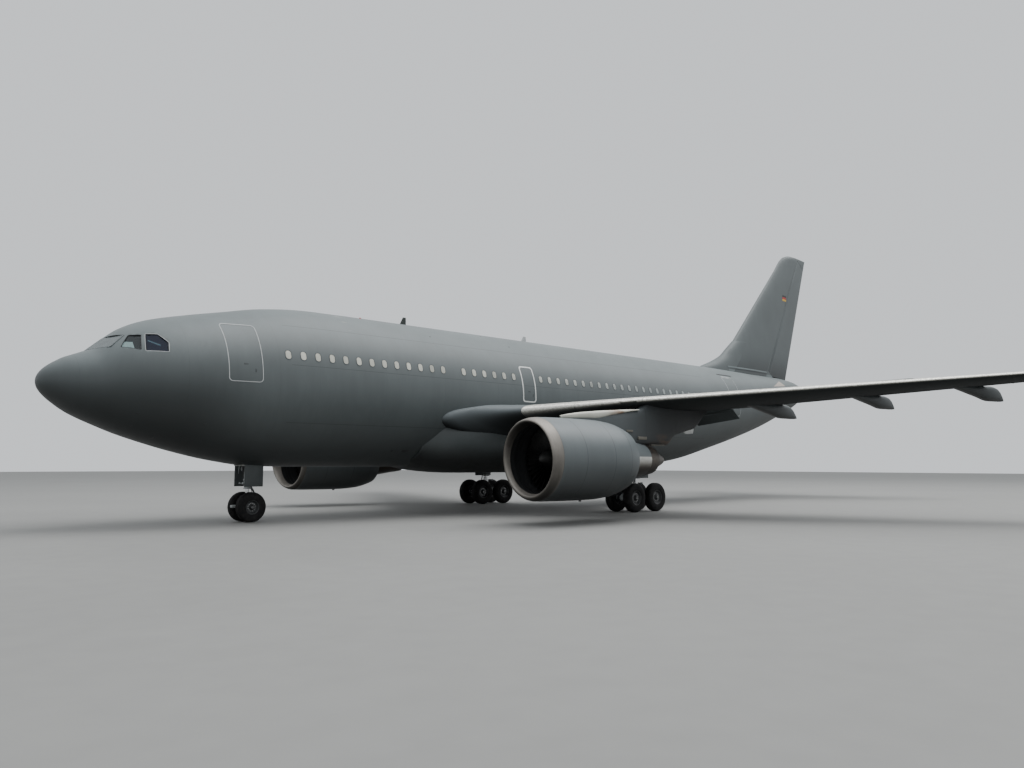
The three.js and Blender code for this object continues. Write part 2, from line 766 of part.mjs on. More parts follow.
// Seat on a post: cushion, and a backrest that leans back
function crewSeat(middle) {
  const { half, postHalf, cushion, post, back } = SEAT;
  const spans = [middle - half, middle + half];
  return union([
    block([post.from, post.to], [middle - postHalf, middle + postHalf], [DECK_SUNK, cushion.low]),
    block([cushion.from, cushion.to], spans, [cushion.low, cushion.high]),
    sidePrism(back, ...spans),
  ]);
}

function buildFlightDeck() {
  const floor = block([DECK_FROM, DECK_TO], [-2000, 2000], [DECK_FLOOR + FIT_GAP, FLOOR_HEIGHT]);
  const panel = sidePrism(PANEL_SIDE, -PANEL_HALF, PANEL_HALF);
  const { from, to, half, high } = PEDESTAL;
  const pedestal = block([from, to], [-half, half], [DECK_SUNK, high]);
  const seats = [-SEAT.span, SEAT.span].map(crewSeat);
  const deck = union([floor, panel, pedestal, ...seats]);
  addSolid('flight_deck', deck.intersect(flightDeckRoom(2 * FIT_GAP)), INSIDE);
}

function buildFuselage() {
  addSolid('radome', fuselage(NOSE_TIP, RADOME_END), GREY);
  buildNose();
  buildFlightDeck();
  const barrels = [
    { name: 'forward_fuselage', from: NOSE_END, to: FORWARD_END, doors: [], hold: CARGO_DOORS[0] },
    { name: 'centre_fuselage', from: FORWARD_END, to: CENTRE_END, doors: [overwingExit] },
    { name: 'aft_fuselage', from: CENTRE_END, to: AFT_END, doors: [rearDoor], hold: CARGO_DOORS[1] },
  ];
  barrels.forEach(({ name, from, to, doors, hold }) => {
    const barrel = withoutDoors(fuselage(from + FIT_GAP, to), doors);
    addSolid(name, hold ? withHold(barrel, hold) : barrel, GREY);
  });
  const exhaust = rod(
    point(TAIL_END - EXHAUST.deep, 0, EXHAUST.innerHeight),
    point(TAIL_END + 50, 0, EXHAUST.outerHeight),
    EXHAUST.radius,
    EXHAUST.radius,
    20,
  );
  addSolid('tail_cone', fuselage(AFT_END + FIT_GAP, TAIL_END).subtract(exhaust), GREY);
  addSolid('belly_fairing', bellyFairing().subtract(fuselage(6000, 13700, FIT_GAP)), DARK_GREY);
  DOORS.forEach((door) => addPair(door.name, wallPatch(door, 0, SKIN), GREY));
  CARGO_DOORS.forEach((door) => addSolid(door.name, cargoDoor(door), GREY));
}

// Wing, its leading edges, flaps, track fairings, aileron and tip fence

function slatRegion({ from, to, share }, gap) {
  const back = [from, to].map((span) => {
    const { lead, trail } = wingRow(span);
    return [mix(lead, trail, share) + gap, span];
  });
  back[0][1] -= gap;
  back[back.length - 1][1] += gap;
  const front = back.map(([station, span]) => [station - 3000, span]);
  return planPrism([...back, ...front.reverse()]);
}

function flapRegion({ from, to }, gap) {
  return planPrism([
    [from[0] - gap, from[1] - gap],
    [to[0] - gap, to[1] + gap],
    [to[0] + 2500, to[1] + gap],
    [from[0] + 2500, from[1] - gap],
  ]);
}

// Track fairing: its roof lies inside the wing, and slants down to the tip behind the trailing edge
function trackFairing({ front, aft, low }) {
  return loft(TRACK_SHAPE.map(({ share, half, roof, floor }) => {
    const span = mix(front[1], aft[1], share);
    const station = mix(front[0], aft[0], share);
    const { leadHeight, trailHeight } = wingRow(span);
    const middle = mix(leadHeight, trailHeight, 0.9);
    const [top, bottom] = [mix(middle, low, roof), mix(middle - 30, low, floor)];
    const wide = TRACK_HALF * half;
    return [
      point(station, span - wide, top),
      point(station, span - wide, mix(top, bottom, 0.65)),
      point(station, span - wide * 0.45, bottom),
      point(station, span + wide * 0.45, bottom),
      point(station, span + wide, mix(top, bottom, 0.65)),
      point(station, span + wide, top),
    ];
  }));
}

function turnAbout(solid, hinge, degrees) {
  const geometry = geometryOf(solid);
  geometry.translate(-hinge.from.x, -hinge.from.y, -hinge.from.z);
  const turn = new THREE.Quaternion();
  turn.setFromAxisAngle(hinge.direction, THREE.MathUtils.degToRad(degrees));
  geometry.applyQuaternion(turn);
  geometry.translate(hinge.from.x, hinge.from.y, hinge.from.z);
  return solidOf(geometry);
}

function aileronHinge() {
  const ends = [AILERON.from, AILERON.to].map(([station, span]) => {
    const { lead, trail, thick } = wingRow(span);
    const share = (station - lead) / (trail - lead);
    return { place: wingPoint(span, share), radius: halfThickness(share) * thick };
  });
  return hingeLine(ends[0].place, ends[1].place, ends[0].radius, ends[1].radius);
}

function buildWing() {
  const keepOut = fuselage(6000, 13700, FIT_GAP).add(bellyFairing(FIT_GAP));
  const whole = wing().subtract(keepOut);
  let box = whole;
  SLATS.forEach((slat) => {
    addPair(slat.name, whole.intersect(slatRegion(slat, 0)), BARE_METAL);
    box = box.subtract(slatRegion(slat, FIT_GAP));
  });
  const grown = wing(FIT_GAP);
  let flapSpace = null;
  FLAPS.forEach((flap) => {
    addPair(flap.name, whole.intersect(flapRegion(flap, 0)), GREY);
    const space = grown.intersect(flapRegion(flap, FIT_GAP));
    flapSpace = flapSpace ? flapSpace.add(space) : space;
  });
  const { fixed, moving } = splitAtHinge(box.subtract(flapSpace), aileronHinge(), BACK);
  const tracks = union(TRACKS.map(trackFairing)).subtract(flapSpace);
  const fence = sidePrism(TIP_FENCE, WING_TIP - FENCE_THICK, WING_TIP);
  const pad = rod(
    point(WING_PAD.station, WING_PAD.span, WING_PAD.face),
    point(WING_PAD.station, WING_PAD.span, WING_PAD.top),
    PAD_R,
  );
  addPair('wing', fixed.add(tracks).add(fence).add(pad), GREY);
  addPair('aileron', turnAbout(moving, aileronHinge(), AILERON.droop), GREY);
}

function buildFin() {
  const whole = loft(FIN.map(({ height, lead, trail, thick }) => aerofoil(
    point(lead, 0, height),
    point(trail, 0, height),
    thick,
    ACROSS,
    0,
  )));
  const fillet = sidePrism(FIN_FILLET, -FILLET_THICK / 2, FILLET_THICK / 2);
  const ends = [RUDDER.low, RUDDER.high].map(([station, height]) => {
    const { lead, trail, thick } = rowAt(FIN, 'height', height);
    const share = (station - lead) / (trail - lead);
    return { place: point(station, 0, height), radius: halfThickness(share) * thick };
  });
  const hinge = hingeLine(ends[0].place, ends[1].place, ends[0].radius, ends[1].radius);
  const { fixed, moving } = splitAtHinge(whole, hinge, BACK);
  const keepOut = fuselage(16900, TAIL_END, FIT_GAP);
  addSolid('fin', fixed.add(fillet).subtract(keepOut), GREY);
  const below = sidePrism([...RUDDER.foot, [TAIL_TIP, 3500], [20000, 3500]], -400, 400);
  addSolid('rudder', moving.subtract(below), GREY);
}

function buildTailplane() {
  const whole = loft(TAILPLANE.map(({ span, lead, trail, height, thick }) => aerofoil(
    point(lead, span, height),
    point(trail, span, height),
    thick,
    UP,
    0,
  )));
  const ends = [ELEVATOR.from, ELEVATOR.to].map((span) => {
    const { lead, trail, height, thick } = rowAt(TAILPLANE, 'span', span);
    const radius = halfThickness(ELEVATOR.share) * thick;
    return { place: point(mix(lead, trail, ELEVATOR.share), span, height), radius };
  });
  const hinge = hingeLine(ends[0].place, ends[1].place, ends[0].radius, ends[1].radius);
  const { fixed, moving } = splitAtHinge(whole, hinge, BACK);
  addPair('tailplane', fixed.subtract(fuselage(17200, TAIL_END, FIT_GAP)), GREY);
  addPair('elevator', moving, GREY);
}

// Engines

const engineSolid = (profile, facets = ENGINE_FACETS) => solidOf(
  turned(profile, facets, 'x').translate(at(0), ENGINE_SPAN, ENGINE_HEIGHT),
);

const grownProfile = (profile, grow) => profile.map(([along, radius]) => [
  along + (along < 7000 ? -grow : grow),
  radius > 0 ? radius + grow : 0,
]);

function pylon(grow) {
  return loft(PYLON.map(({ station, low, high, half }) => {
    const [wide, bottom, top] = [half + grow, low - grow, high + grow];
    return [
      point(station, ENGINE_SPAN - wide, mix(bottom, top, 0.15)),
      point(station, ENGINE_SPAN - wide * 0.5, bottom),
      point(station, ENGINE_SPAN + wide * 0.5, bottom),
      point(station, ENGINE_SPAN + wide, mix(bottom, top, 0.15)),
      point(station, ENGINE_SPAN + wide, mix(bottom, top, 0.85)),
      point(station, ENGINE_SPAN + wide * 0.4, top),
      point(station, ENGINE_SPAN - wide * 0.4, top),
      point(station, ENGINE_SPAN - wide, mix(bottom, top, 0.85)),
    ];
  }));
}

function coreWithVanes() {
  const duct = DUCT_R * Math.cos(Math.PI / ENGINE_FACETS) - 2 * FIT_GAP;
  let core = engineSolid(CORE, CORE_FACETS);
  for (let i = 0; i < VANES; i += 1) {
    const angle = ((i * 3 + 0.5) * 2 * Math.PI) / ENGINE_FACETS;
    const vane = new THREE.BoxGeometry(VANE.chord, VANE.thick, duct - VANE.root);
    vane.translate(at(VANE.station), 0, (duct + VANE.root) / 2);
    vane.rotateX(angle);
    vane.translate(0, ENGINE_SPAN, ENGINE_HEIGHT);
    core = core.add(solidOf(vane));
  }
  return core;
}

// Fan rotor: spinner, hub with one facet for each blade, and twisted blades, as one closed surface.
// A blade's root runs from the front left corner of its facet to the back right corner.
function fan() {
  const positions = [];
  const corners = [];
  const vertex = (along, radius, turn, tangent = 0) => {
    const angle = (turn * 2 * Math.PI) / BLADES;
    positions.push(
      along - FAN_STATION,
      -radius * Math.sin(angle) - tangent * Math.cos(angle),
      radius * Math.cos(angle) - tangent * Math.sin(angle),
    );
    return positions.length / 3 - 1;
  };
  const ring = (along, radius) => [...Array(BLADES).keys()].map((i) => vertex(along, radius, i));
  const hubRadius = SPINNER[SPINNER.length - 1][1];
  const spinner = SPINNER.map(([along, radius]) => ring(along, radius));
  const front = spinner[spinner.length - 1];
  const back = ring(BLADE_ROOT_BACK, hubRadius);
  const end = ring(HUB_BACK, hubRadius);
  const [tip, centre] = [vertex(SPINNER_TIP, 0, 0), vertex(HUB_BACK, 0, 0)];
  const onEdge = (a, b, share) => {
    const place = (vertexIndex) => positions.slice(vertexIndex * 3, vertexIndex * 3 + 3);
    const [p, q] = [place(a), place(b)];
    positions.push(mix(p[0], q[0], share), mix(p[1], q[1], share), mix(p[2], q[2], share));
    return positions.length / 3 - 1;
  };
  const stagger = THREE.MathUtils.degToRad(BLADE.tipStagger);
  const tipCorner = (i, chordwise, through) => {
    const [chord, thick] = [(chordwise * BLADE.tipChord) / 2, (through * BLADE.tipThick) / 2];
    const along = FAN_STATION + chord * Math.cos(stagger) - thick * Math.sin(stagger);
    const tangent = chord * Math.sin(stagger) + thick * Math.cos(stagger);
    return vertex(along, BLADE.tipRadius, i + 0.5, tangent);
  };
  for (let i = 0; i < BLADES; i += 1) {
    const j = (i + 1) % BLADES;
    const [a, b, c, d] = [front[i], front[j], back[j], back[i]];
    const [a2, c2] = [onEdge(a, b, BLADE.rootShare), onEdge(c, d, BLADE.rootShare)];
    const tipLoop = [tipCorner(i, -1, -1), tipCorner(i, -1, 1), tipCorner(i, 1, 1), tipCorner(i, 1, -1)];
    const rootLoop = [a, a2, c, c2];
    const [inner, middle] = [spinner[0], spinner[1]];
    corners.push(tip, inner[j], inner[i]);
    corners.push(inner[i], inner[j], middle[j], inner[i], middle[j], middle[i]);
    corners.push(middle[i], middle[j], b, middle[i], b, a2, middle[i], a2, a);
    corners.push(a2, b, c, a, c2, d);
    corners.push(d, c2, end[i], c2, c, end[j], c2, end[j], end[i]);
    corners.push(end[i], end[j], centre);
    rootLoop.forEach((root, k) => {
      const next = (k + 1) % 4;
      corners.push(root, rootLoop[next], tipLoop[next], root, tipLoop[next], tipLoop[k]);
    });
    corners.push(tipLoop[0], tipLoop[1], tipLoop[2], tipLoop[0], tipLoop[2], tipLoop[3]);
  }
  const geometry = new THREE.BufferGeometry();
  geometry.setAttribute('position', new THREE.Float32BufferAttribute(positions, 3));
  geometry.setIndex(corners);
  return solidOf(geometry);
}

function buildEngines() {
  const coreSpace = engineSolid(grownProfile(CORE, FIT_GAP), CORE_FACETS);
  addPair('pylon', pylon(0).subtract(wing(FIT_GAP)).subtract(coreSpace), GREY);
  addPair('nacelle', engineSolid(NACELLE).subtract(pylon(FIT_GAP)), GREY);
  addPair('inlet_lip', engineSolid(INLET_LIP), BARE_METAL);
  addPair('engine_core', coreWithVanes(), BARE_METAL);
  const rotor = geometryOf(fan());
  [['right', 1], ['left', -1]].forEach(([side, sign]) => {
    const mesh = add(`fan_${side}`, rotor.clone(), DARK_METAL);
    mesh.position.set(at(FAN_STATION), sign * ENGINE_SPAN, ENGINE_HEIGHT);
  });
}

// Landing gear

// Wheel pair with a flat facet on the ground, turned about its axle
function wheelPair(profile) {
  const swell = 1 / Math.cos(Math.PI / WHEEL_FACETS);
  const half = profile.map(([along, radius]) => [along, radius * swell]);
  const full = [...half, ...half.map(([along, radius]) => [-along, radius]).reverse()];
  return turned(full, WHEEL_FACETS, 'y', Math.PI / WHEEL_FACETS);
}

const borehole = (radius) => (radius + 2 * FIT_GAP) / Math.cos(Math.PI / 16) ** 2;

function axleRod(station, span, height, half, radius, facets = 16) {
  const [near, far] = [point(station, span - half, height), point(station, span + half, height)];
  return rod(near, far, radius, radius, facets);
}

// Folding link behind a strut, from a place near it to a knee further back
function torqueLink(station, { top, knee, foot, near, far, half }, span = 0) {
  const corners = [[station + near, top], [station + far, knee], [station + near, foot]];
  return sidePrism(corners, span - half, span + half);
}

function noseSteering() {
  const { station, tyreRadius, strutRadius, strutTop } = NOSE_GEAR;
  const hub = axleRod(station, 0, tyreRadius, NOSE_HUB.half, NOSE_HUB.radius);
  const strut = rod(point(station, 0, tyreRadius), point(station, 0, strutTop), strutRadius);
  const collar = rod(point(station, 0, NOSE_COLLAR.low), point(station, 0, strutTop), NOSE_COLLAR.radius);
  const { front, back, half, low, high } = TOW_LUG;
  const lug = block([front, back], [-half, half], [low, high]);
  const bore = axleRod(station, 0, tyreRadius, NOSE_HUB.half + 5, borehole(NOSE_BORE_R));
  return union([hub, strut, collar, lug, torqueLink(station, NOSE_LINK)]).subtract(bore);
}

function noseLeg() {
  const { station, strutTop } = NOSE_GEAR;
  const legTop = NOSE_WELL.top - FIT_GAP;
  const { radius, braceRadius, braceLow, braceHigh, braceReach } = NOSE_LEG;
  const leg = rod(point(station, 0, strutTop + 2 * FIT_GAP), point(station, 0, legTop), radius);
  const brace = rod(point(station, 0, braceLow), point(station - braceReach, 0, braceHigh), braceRadius);
  const { ahead, behind, half, low } = NOSE_CROWN;
  const crown = block([station - ahead, station + behind], [-half, half], [low, legTop]);
  return union([leg, brace, crown]);
}

function buildNoseGear() {
  addSolid('nose_steering', noseSteering(), STRUT);
  const wheels = add('nose_wheels', wheelPair(NOSE_WHEEL), TYRE);
  wheels.position.set(at(NOSE_GEAR.station), 0, NOSE_GEAR.tyreRadius);
  addSolid('nose_leg', noseLeg(), STRUT);
  const { from, to, low, high, inner, outer } = NOSE_DOOR;
  const door = block([from, to], [inner, outer], [low, high]);
  addPair('nose_gear_door', door.subtract(fuselage(from - 300, to + 260, FIT_GAP)), GREY);
}

function bogie(axles) {
  const { span, tyreRadius } = MAIN_GEAR;
  const { half, tall, eyeHalf, eyeRadius, boreRadius } = BEAM;
  const beam = block(axles, [span - half, span + half], [tyreRadius - tall, tyreRadius + tall]);
  const eyes = axles.map((axle) => axleRod(axle, span, tyreRadius, eyeHalf, eyeRadius));
  const bores = axles.map((axle) => axleRod(axle, span, tyreRadius, eyeHalf + 10, borehole(boreRadius)));
  return union([beam, ...eyes]).subtract(union(bores));
}

function mainLeg() {
  const { station, span, tyreRadius } = MAIN_GEAR;
  const foot = tyreRadius + BEAM.tall + FIT_GAP;
  const upright = (low, high, radius) => rod(point(station, span, low), point(station, span, high), radius);
  return union([
    upright(foot, MAIN_STRUT.high, MAIN_STRUT.radius),
    upright(MAIN_CYLINDER.low, MAIN_CYLINDER.high, MAIN_CYLINDER.radius),
    rod(
      point(station, span, SIDE_STAY.low),
      point(station, SIDE_STAY.span, SIDE_STAY.high),
      SIDE_STAY.radius,
    ),
    rod(
      point(station, span, DRAG_STAY.low),
      point(station - DRAG_STAY.reach, span, DRAG_STAY.high),
      DRAG_STAY.radius,
    ),
    torqueLink(station, MAIN_LINK, span),
  ]);
}

// Door outboard of the leg, with an arm to it at two heights
function mainGearDoor() {
  const { station, span } = MAIN_GEAR;
  const { half, inner, outer, low, high } = MAIN_DOOR;
  const panel = block([station - half, station + half], [span + inner, span + outer], [low, high]);
  const arms = DOOR_ARM.heights.map((height) => block(
    [station - DOOR_ARM.half, station + DOOR_ARM.half],
    [span + MAIN_CYLINDER.radius + FIT_GAP, span + inner + 10],
    [height, height + DOOR_ARM.tall],
  ));
  return union([panel, ...arms]);
}

function buildMainGear() {
  const { station, span, tyreRadius, axleReach } = MAIN_GEAR;
  const axles = [station - axleReach, station + axleReach];
  addPair('bogie', bogie(axles), STRUT);
  axles.forEach((axle, i) => {
    const row = i === 0 ? 'front' : 'rear';
    [['right', 1], ['left', -1]].forEach(([side, sign]) => {
      const wheels = add(`main_wheels_${row}_${side}`, wheelPair(MAIN_WHEEL), TYRE);
      wheels.position.set(at(axle), sign * span, tyreRadius);
    });
  });
  const keepOut = wing(FIT_GAP).add(bellyFairing(FIT_GAP));
  addPair('main_leg', mainLeg().subtract(keepOut), STRUT);
  addPair('main_gear_door', mainGearDoor().subtract(wing(FIT_GAP)), GREY);
}

buildFuselage();
buildWing();
buildFin();
buildTailplane();
buildEngines();
buildNoseGear();
buildMainGear();

export default plane;
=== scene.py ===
import math

import bmesh
import bpy
from mathutils import Matrix, Vector


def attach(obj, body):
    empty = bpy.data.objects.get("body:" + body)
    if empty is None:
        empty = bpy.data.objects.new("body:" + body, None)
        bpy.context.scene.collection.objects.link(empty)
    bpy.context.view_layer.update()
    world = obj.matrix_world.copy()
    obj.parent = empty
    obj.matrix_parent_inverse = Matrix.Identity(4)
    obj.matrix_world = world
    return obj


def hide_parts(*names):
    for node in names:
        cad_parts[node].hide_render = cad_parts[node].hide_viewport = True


# Looks of a twin-engine transport plane, a 1:2 scale model on its gear.
# Tables hold millimetres. A station is a distance aft of a datum 110 mm ahead of the nose tip, a span place is a
# distance from the plane's middle, and a height is measured from the ground. Radii and offsets of rods, boxes and
# bevels, and the numbers in finishes, are metres.

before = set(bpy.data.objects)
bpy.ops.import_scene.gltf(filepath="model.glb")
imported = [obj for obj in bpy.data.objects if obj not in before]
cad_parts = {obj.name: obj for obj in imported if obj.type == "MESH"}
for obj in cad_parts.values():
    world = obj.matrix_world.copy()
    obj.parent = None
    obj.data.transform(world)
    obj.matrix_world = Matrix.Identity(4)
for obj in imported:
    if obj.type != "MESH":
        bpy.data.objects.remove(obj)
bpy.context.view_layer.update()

NOSE_TIP = 110
ORIGIN_STATION = 11775
AROUND = 96
X, Y, Z = Vector((1, 0, 0)), Vector((0, 1, 0)), Vector((0, 0, 1))
SIDES = (("right", 1), ("left", -1))


def place(station, y, height):
    """A point given in millimetres, in the frame's metres."""
    return Vector(((station - ORIGIN_STATION) / 1000, y / 1000, height / 1000))


def blend(a, b, share):
    return a + (b - a) * share


class Table:
    """Rows of numbers along their first column, read with straight or with smooth steps between the rows."""

    def __init__(self, *rows):
        self.rows = rows
        self.places = [row[0] for row in rows]
        self.slopes = [self.slopes_of([row[i] for row in rows]) for i in range(1, len(rows[0]))]

    def slopes_of(self, values):
        steps = [b - a for a, b in zip(self.places, self.places[1:])]
        rises = [(b - a) / step for a, b, step in zip(values, values[1:], steps)]
        slopes = [rises[0]]
        for before, after, rise, next_rise in zip(steps, steps[1:], rises, rises[1:]):
            if rise * next_rise <= 0:
                slopes.append(0.0)
                continue
            near, far = 2 * after + before, after + 2 * before
            slopes.append((near + far) / (near / rise + far / next_rise))
        return slopes + [rises[-1]]

    def step(self, value):
        """Row before a value, the width of its step, and the share of that step."""
        last = len(self.places) - 2
        i = max(0, min(last, sum(passed <= value for passed in self.places) - 1))
        width = self.places[i + 1] - self.places[i]
        return i, width, (value - self.places[i]) / width

    def straight(self, value):
        i, _, share = self.step(value)
        return [blend(a, b, share) for a, b in zip(self.rows[i][1:], self.rows[i + 1][1:])]

    def smooth(self, value):
        i, width, t = self.step(value)
        found = []
        for a, b, slopes in zip(self.rows[i][1:], self.rows[i + 1][1:], self.slopes):
            bend = (t ** 3 - 2 * t * t + t) * slopes[i] + (t ** 3 - t * t) * slopes[i + 1]
            found.append(blend(a, b, t * t * (3 - 2 * t)) + width * bend)
        return found


def spread(start, end, count):
    """Even steps from start to end, with both."""
    return [blend(start, end, i / count) for i in range(count + 1)]


# Lowest line, highest line and half width of the fuselage at each station
FUSELAGE = Table(
    (110, 2190, 2210, 12), (113, 2165, 2235, 42), (120, 2139, 2264, 76), (132, 2109, 2294, 113),
    (150, 2076, 2327, 152), (180, 2036, 2367, 201), (225, 1988, 2414, 257), (290, 1929, 2467, 322),
    (370, 1869, 2520, 387), (450, 1812, 2570, 450), (560, 1745, 2618, 530), (700, 1676, 2676, 618),
    (800, 1632, 2722, 682), (1035, 1535, 2940, 806), (1225, 1460, 3088, 898), (1575, 1345, 3252, 1035),
    (2200, 1170, 3414, 1210), (2800, 1040, 3540, 1320), (3500, 950, 3680, 1390),
    (4250, 940, 3750, 1410), (4800, 940, 3760, 1410), (13750, 940, 3760, 1410), (15250, 1080, 3760, 1360),
    (16850, 1400, 3760, 1225), (18200, 1700, 3750, 1050), (19600, 2050, 3735, 850), (21000, 2475, 3735, 610),
    (22000, 2810, 3685, 425), (22550, 3050, 3590, 250),
)
# Centre height, half width and half height of the belly fairing
FAIRING = Table(
    (6450, 1500, 1000, 480), (7000, 1480, 1370, 610), (7900, 1470, 1500, 660),
    (11800, 1470, 1500, 660), (12500, 1480, 1380, 600), (13150, 1500, 1000, 500),
)
# Span place, then station and height of the leading edge and of the trailing edge, and thickness
WING = Table(
    (1150, 6600, 1840, 11780, 1575, 606), (1400, 6700, 1855, 11800, 1575, 606),
    (1530, 7150, 1945, 11805, 1582, 573), (1740, 7640, 1983, 11815, 1610, 512),
    (2065, 7990, 2017, 11840, 1661, 435), (3950, 9125, 2171, 11950, 2120, 238),
    (10960, 13336, 2599, 14430, 2603, 85),
)
WING_ROOT_END = 2065
# Height, then station of the leading and of the trailing edge, and thickness
FIN = Table(
    (3600, 17770, 21853, 440), (4640, 18782, 22237, 385), (7275, 21395, 23209, 210),
    (7810, 21965, 23407, 170), (7900, 22250, 23440, 120),
)
# Span place, then station of the leading and of the trailing edge, height and thickness
TAILPLANE = Table((250, 18722, 21803, 3020, 300), (950, 19250, 21950, 3100, 270), (4065, 21600, 22600, 3450, 90))
ENGINE_SPAN, ENGINE_HEIGHT = 3970, 1075


# Meshes

def circle(count):
    return [2 * math.pi * i / count for i in range(count)]


def bent(value, power):
    """A sine or cosine that makes a squarer ring where the power is lower."""
    return math.copysign(abs(value) ** power, value)


def oval_ring(station, span, half, middle, tall, across, upright, count=32):
    """Ring of an oval or rounded box section across the plane."""
    return [place(station, span + half * bent(math.cos(a), across), middle + tall * bent(math.sin(a), upright))
            for a in circle(count)]


def edges_of(verts):
    return list({edge for vertex in verts for edge in vertex.link_edges})


def bevel_edges(bm, edges, offset, segments):
    bmesh.ops.bevel(bm, geom=edges, offset=offset, segments=segments, affect="EDGES", profile=0.5, material=-1)


def add_loft(bm, rings, cyclic=False):
    """Skin through rings of equally many points. It closes at both ends, or runs round back to its start."""
    first = bmesh.ops.create_circle(bm, segments=len(rings[0]), radius=1)["verts"]
    for vertex, target in zip(first, rings[0]):
        vertex.co = target
    front = loop = edges_of(first)
    verts = first
    for ring in rings[1:] + (rings[:1] if cyclic else []):
        made = bmesh.ops.extrude_edge_only(bm, edges=loop)["geom"]
        fresh = {item for item in made if isinstance(item, bmesh.types.BMVert)}
        verts = [next(edge.other_vert(vertex) for edge in vertex.link_edges if edge.other_vert(vertex) in fresh)
                 for vertex in verts]
        for vertex, target in zip(verts, ring):
            vertex.co = target
        loop = [item for item in made if isinstance(item, bmesh.types.BMEdge) and fresh.issuperset(item.verts)]
    if cyclic:
        bmesh.ops.weld_verts(bm, targetmap=dict(zip(verts, first)))
    else:
        for edges in (front, loop):
            bmesh.ops.contextual_create(bm, geom=edges)


def turn_from(direction):
    """Turn that takes Z to a direction."""
    return Vector(direction).to_track_quat("Z", "Y").to_matrix().to_4x4()


def add_rod(bm, start, end, radius, end_radius=None, facets=16):
    middle, along = (start + end) / 2, end - start
    bmesh.ops.create_cone(
        bm, cap_ends=True, segments=facets, radius1=radius, radius2=radius if end_radius is None else end_radius,
        depth=along.length, matrix=Matrix.Translation(middle) @ turn_from(along),
    )


def add_box(bm, low, high, soft=0.0, segments=2):
    """Box between two corners, its edges rounded by a soft radius."""
    size = high - low
    matrix = Matrix.Translation((low + high) / 2) @ Matrix.Diagonal((*size, 1))
    verts = bmesh.ops.create_cube(bm, size=1, matrix=matrix)["verts"]
    if soft:
        bevel_edges(bm, edges_of(verts), soft, segments)


def add_turned(bm, profile, centre, axis, facets=AROUND):
    """Turned shape: a profile of (distance along the axis, radius), closed if it starts away from the axis."""
    turn = turn_from(axis)
    points = [centre + turn @ Vector((radius, 0, along)) for along, radius in profile]
    verts = [bmesh.ops.create_vert(bm, co=point)["vert"][0] for point in points]
    ends = verts[1:] + ([verts[0]] if profile[0][1] > 0 else [])
    edges = [bm.edges.new(pair) for pair in zip(verts, ends)]
    bmesh.ops.spin(
        bm, geom=verts + edges, cent=centre, axis=turn @ Z, angle=2 * math.pi, steps=facets, use_merge=True,
    )
    bmesh.ops.remove_doubles(bm, verts=bm.verts, dist=1e-6)


def push(bm, faces, way):
    """Extrudes faces that stay where they are."""
    top = bmesh.ops.extrude_face_region(bm, geom=faces, use_keep_orig=True)["geom"]
    bmesh.ops.translate(bm, verts=[item for item in top if isinstance(item, bmesh.types.BMVert)], vec=way)


def add_prism(bm, corners, before, after):
    """Prism over flat corners, between two offsets."""
    verts = [bmesh.ops.create_vert(bm, co=corner + before)["vert"][0] for corner in corners]
    push(bm, bmesh.ops.contextual_create(bm, geom=verts)["faces"], after - before)


def object_from(name, bm, finish=None):
    bmesh.ops.recalc_face_normals(bm, faces=bm.faces)
    mesh = bpy.data.meshes.new(name)
    bm.to_mesh(mesh)
    bm.free()
    if finish:
        mesh.materials.append(finish)
    made = bpy.data.objects.new(name, mesh)
    bpy.context.scene.collection.objects.link(made)
    return made


def made_by(build):
    """A fresh mesh that a function fills."""
    bm = bmesh.new()
    build(bm)
    return bm


def shaped(name, bm, *steps):
    """A mesh after boolean steps with other meshes, each step an operation and the mesh that does it."""
    target = object_from(name, bm)
    helpers = []
    for operation, other in steps:
        helper = object_from("helper", other)
        helpers.append(helper)
        modifier = target.modifiers.new("step", "BOOLEAN")
        modifier.operation, modifier.solver, modifier.object = operation, "EXACT", helper
    bpy.context.view_layer.update()
    evaluated = target.evaluated_get(bpy.context.evaluated_depsgraph_get())
    result = bmesh.new()
    result.from_mesh(evaluated.to_mesh())
    evaluated.to_mesh_clear()
    for spent in [target, *helpers]:
        bpy.data.meshes.remove(spent.data)
    bmesh.ops.remove_doubles(result, verts=result.verts, dist=1e-6)
    return result


def mirrored(bm):
    """A copy on the other side of the plane."""
    other = bm.copy()
    bmesh.ops.scale(other, vec=(1, -1, 1), verts=other.verts)
    bmesh.ops.reverse_faces(other, faces=other.faces)
    return other


def mark_upward(mesh):
    """Keeps on every vertex how far its surface faces up, for painted light on top and painted shade below."""
    marks = mesh.attributes.new("upward", "FLOAT", "POINT")
    marks.data.foreach_set("value", [vertex.normal.z for vertex in mesh.vertices])


def piece(name, bm, finish, body="airframe", replaces=(), crease=32):
    """One piece of the plane: its finish, the body it rides on and the nodes it stands in for."""
    made = object_from(name, bm, finish)
    mark_upward(made.data)
    made.data.shade_smooth()
    made.data.set_sharp_from_angle(angle=math.radians(crease))
    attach(made, body)
    if replaces:
        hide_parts(*replaces)
    return made


def pair(name, bm, finish, body="airframe", slot=None, replaces=(), crease=32):
    """The right piece and its mirror image on the left. Names of bodies and nodes in braces take the side."""
    for side, sign in SIDES:
        shape = bm.copy() if sign > 0 else mirrored(bm)
        hidden = [node.format(side) for node in replaces]
        piece(f"{name}_{side}", shape, finish, body.format(side), hidden, crease)
    bm.free()


# Finishes

